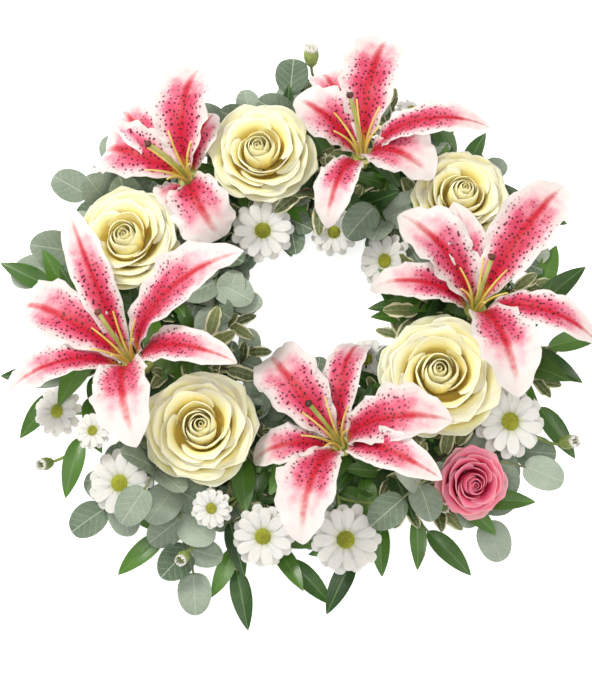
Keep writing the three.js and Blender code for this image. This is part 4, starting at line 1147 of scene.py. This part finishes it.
pieces = {kindName: leafPiece("sprigs_" + kindName, kindName) for kindName in leafKinds}
choice = ("eucalyptus", "pittosporum", "ruscus", "eucalyptus", "pittosporum")
seed = seeds["sprigs"]
for k in range(sprigs["inner"] + sprigs["outer"]):
    inner = k < sprigs["inner"]
    turn = 2 * math.pi * (k + 0.6 * draw(seed, k, 0)) / sprigs["inner" if inner else "outer"]
    spot, out = onFoam(turn, (-1 if inner else 1) * (0.62 + 0.3 * draw(seed, k, 1)))
    way = levelWay(turn) * (-1 if inner else 1)
    kindName = choice[math.floor(5 * draw(seed, k, 2))]
    kind = leafKinds[kindName]
    aside = up.cross(way) * (16 * (draw(seed, k, 4) - 0.5))
    rise = up * ((12 if inner else -14) * draw(seed, k, 5) - 2)
    end = spot + way * (20 + 12 * draw(seed, k, 3)) + aside + rise
    arriving = (way + up * 0.1).normalized()
    curve = bezier(spot - out * 2, spot + out * 8, end - arriving * 8, end)
    piece = pieces[kindName]
    piece.addTube(steps(curve, 8), 0.9, 6, 1)
    spots = math.floor(34 / kind["spacing"]) * (2 if kind["pairs"] else 1) + 1
    for leaf in range(spots + 1):
        t = leaf / (spots + 1)
        near = (curve(1 - t) - curve(0.98 - t)).normalized()
        place, blade = leafOf(kind, curve(1 - t), near, 60 + k, 0, leaf, 0)
        blade["length"] *= sprigs["size"]
        blade["width"] *= sprigs["size"]
        shape = bladeAt(place, blade)
        isClear = not any(inOpening(shape(s, t)[0]) for s in (0.4, 0.7, 1) for t in (-1, 0, 1))
        if isClear and not meetsBloom(shape):
            addLeaf(piece, place, blade, draw(seed + leaf, k, 8), 8, 6)
for kindName, piece in pieces.items():
    piece.finish(kindName)

moss = Piece("moss", "moss")
seed = seeds["moss"]
for k in range(filling["tufts"]):
    spot, out = onFoam(2 * math.pi * draw(seed, k, 0), 2.1 * draw(seed, k, 1) - 1.05)
    if not isFree(spot, filling["tuftClear"]):
        continue
    level = levelWay(6.28 * draw(seed, k, 2))
    along = (level * 0.6 + out * (0.5 + 0.6 * draw(seed, k, 3))).normalized()
    length = 2.5 + 3.5 * draw(seed, k, 4)
    tuft = {"segments": 3, "radius1": 0.9, "radius2": 0.1, "depth": length, "cap_ends": True}
    made = bmesh.ops.create_cone(moss.bm, **tuft)["verts"]
    turned = up.rotation_difference(along).to_matrix().to_4x4()
    move = Matrix.Translation(spot + along * (length / 2 - 0.6)) @ turned
    bmesh.ops.transform(moss.bm, matrix=move, verts=made)
moss.finish("foam")

print("setting the stage")
bpy.ops.mesh.primitive_plane_add(size=12, location=(0, 0, 0))
floor = bpy.context.object
floor.name = "floor"
pale = {"Base_Color": (0.9, 0.9, 0.9, 1), "Emission_Color": (1, 1, 1, 1), "Emission_Strength": 0.75}
floor.data.materials.append(Look("paleFloor", Roughness=0.9, **pale).material)

view = {"elevation": 75, "lens": 200, "height": 0.507, "at": (-15.75, -24.8, 60)}
lens = bpy.data.cameras.new("camera")
lens.lens = view["lens"]
lens.sensor_width = 36
camera = bpy.data.objects.new("camera", lens)
bpy.context.collection.objects.link(camera)
tilt = math.radians(view["elevation"])
distance = view["lens"] / 36 * view["height"]
aim = toMetres(Vector(view["at"]))
camera.location = aim + Vector((0, -math.cos(tilt), math.sin(tilt))) * distance
camera.rotation_euler = (math.pi / 2 - tilt, 0, 0)
lens.clip_end = 20
bpy.context.scene.camera = camera

world = bpy.data.worlds.new("studio")
bpy.context.scene.world = world
bpy.context.scene.view_settings.view_transform = "Standard"
world.use_nodes = True
background = world.node_tree.nodes["Background"]
background.inputs["Color"].default_value = (1, 0.975, 0.94, 1)
background.inputs["Strength"].default_value = 0.6

# in metres and watts
lamps = table(("name", "place", "size", "energy"), [
    ("keyLight", (-0.9, 0.7, 1.5), 0.5, 21.5),
    ("topLight", (-0.15, -0.35, 1.9), 0.5, 8),
    ("fillLight", (1.1, -0.6, 1.3), 1.4, 8),
])
for lamp in lamps:
    light = bpy.data.lights.new(lamp["name"], "AREA")
    light.shape = "DISK"
    light.size = lamp["size"]
    light.energy = lamp["energy"]
    light.color = (1, 0.97, 0.92)
    made = bpy.data.objects.new(lamp["name"], light)
    bpy.context.collection.objects.link(made)
    made.location = lamp["place"]
    made.rotation_euler = (Vector((0, 0, 0.05)) - made.location).to_track_quat("-Z", "Y").to_euler()
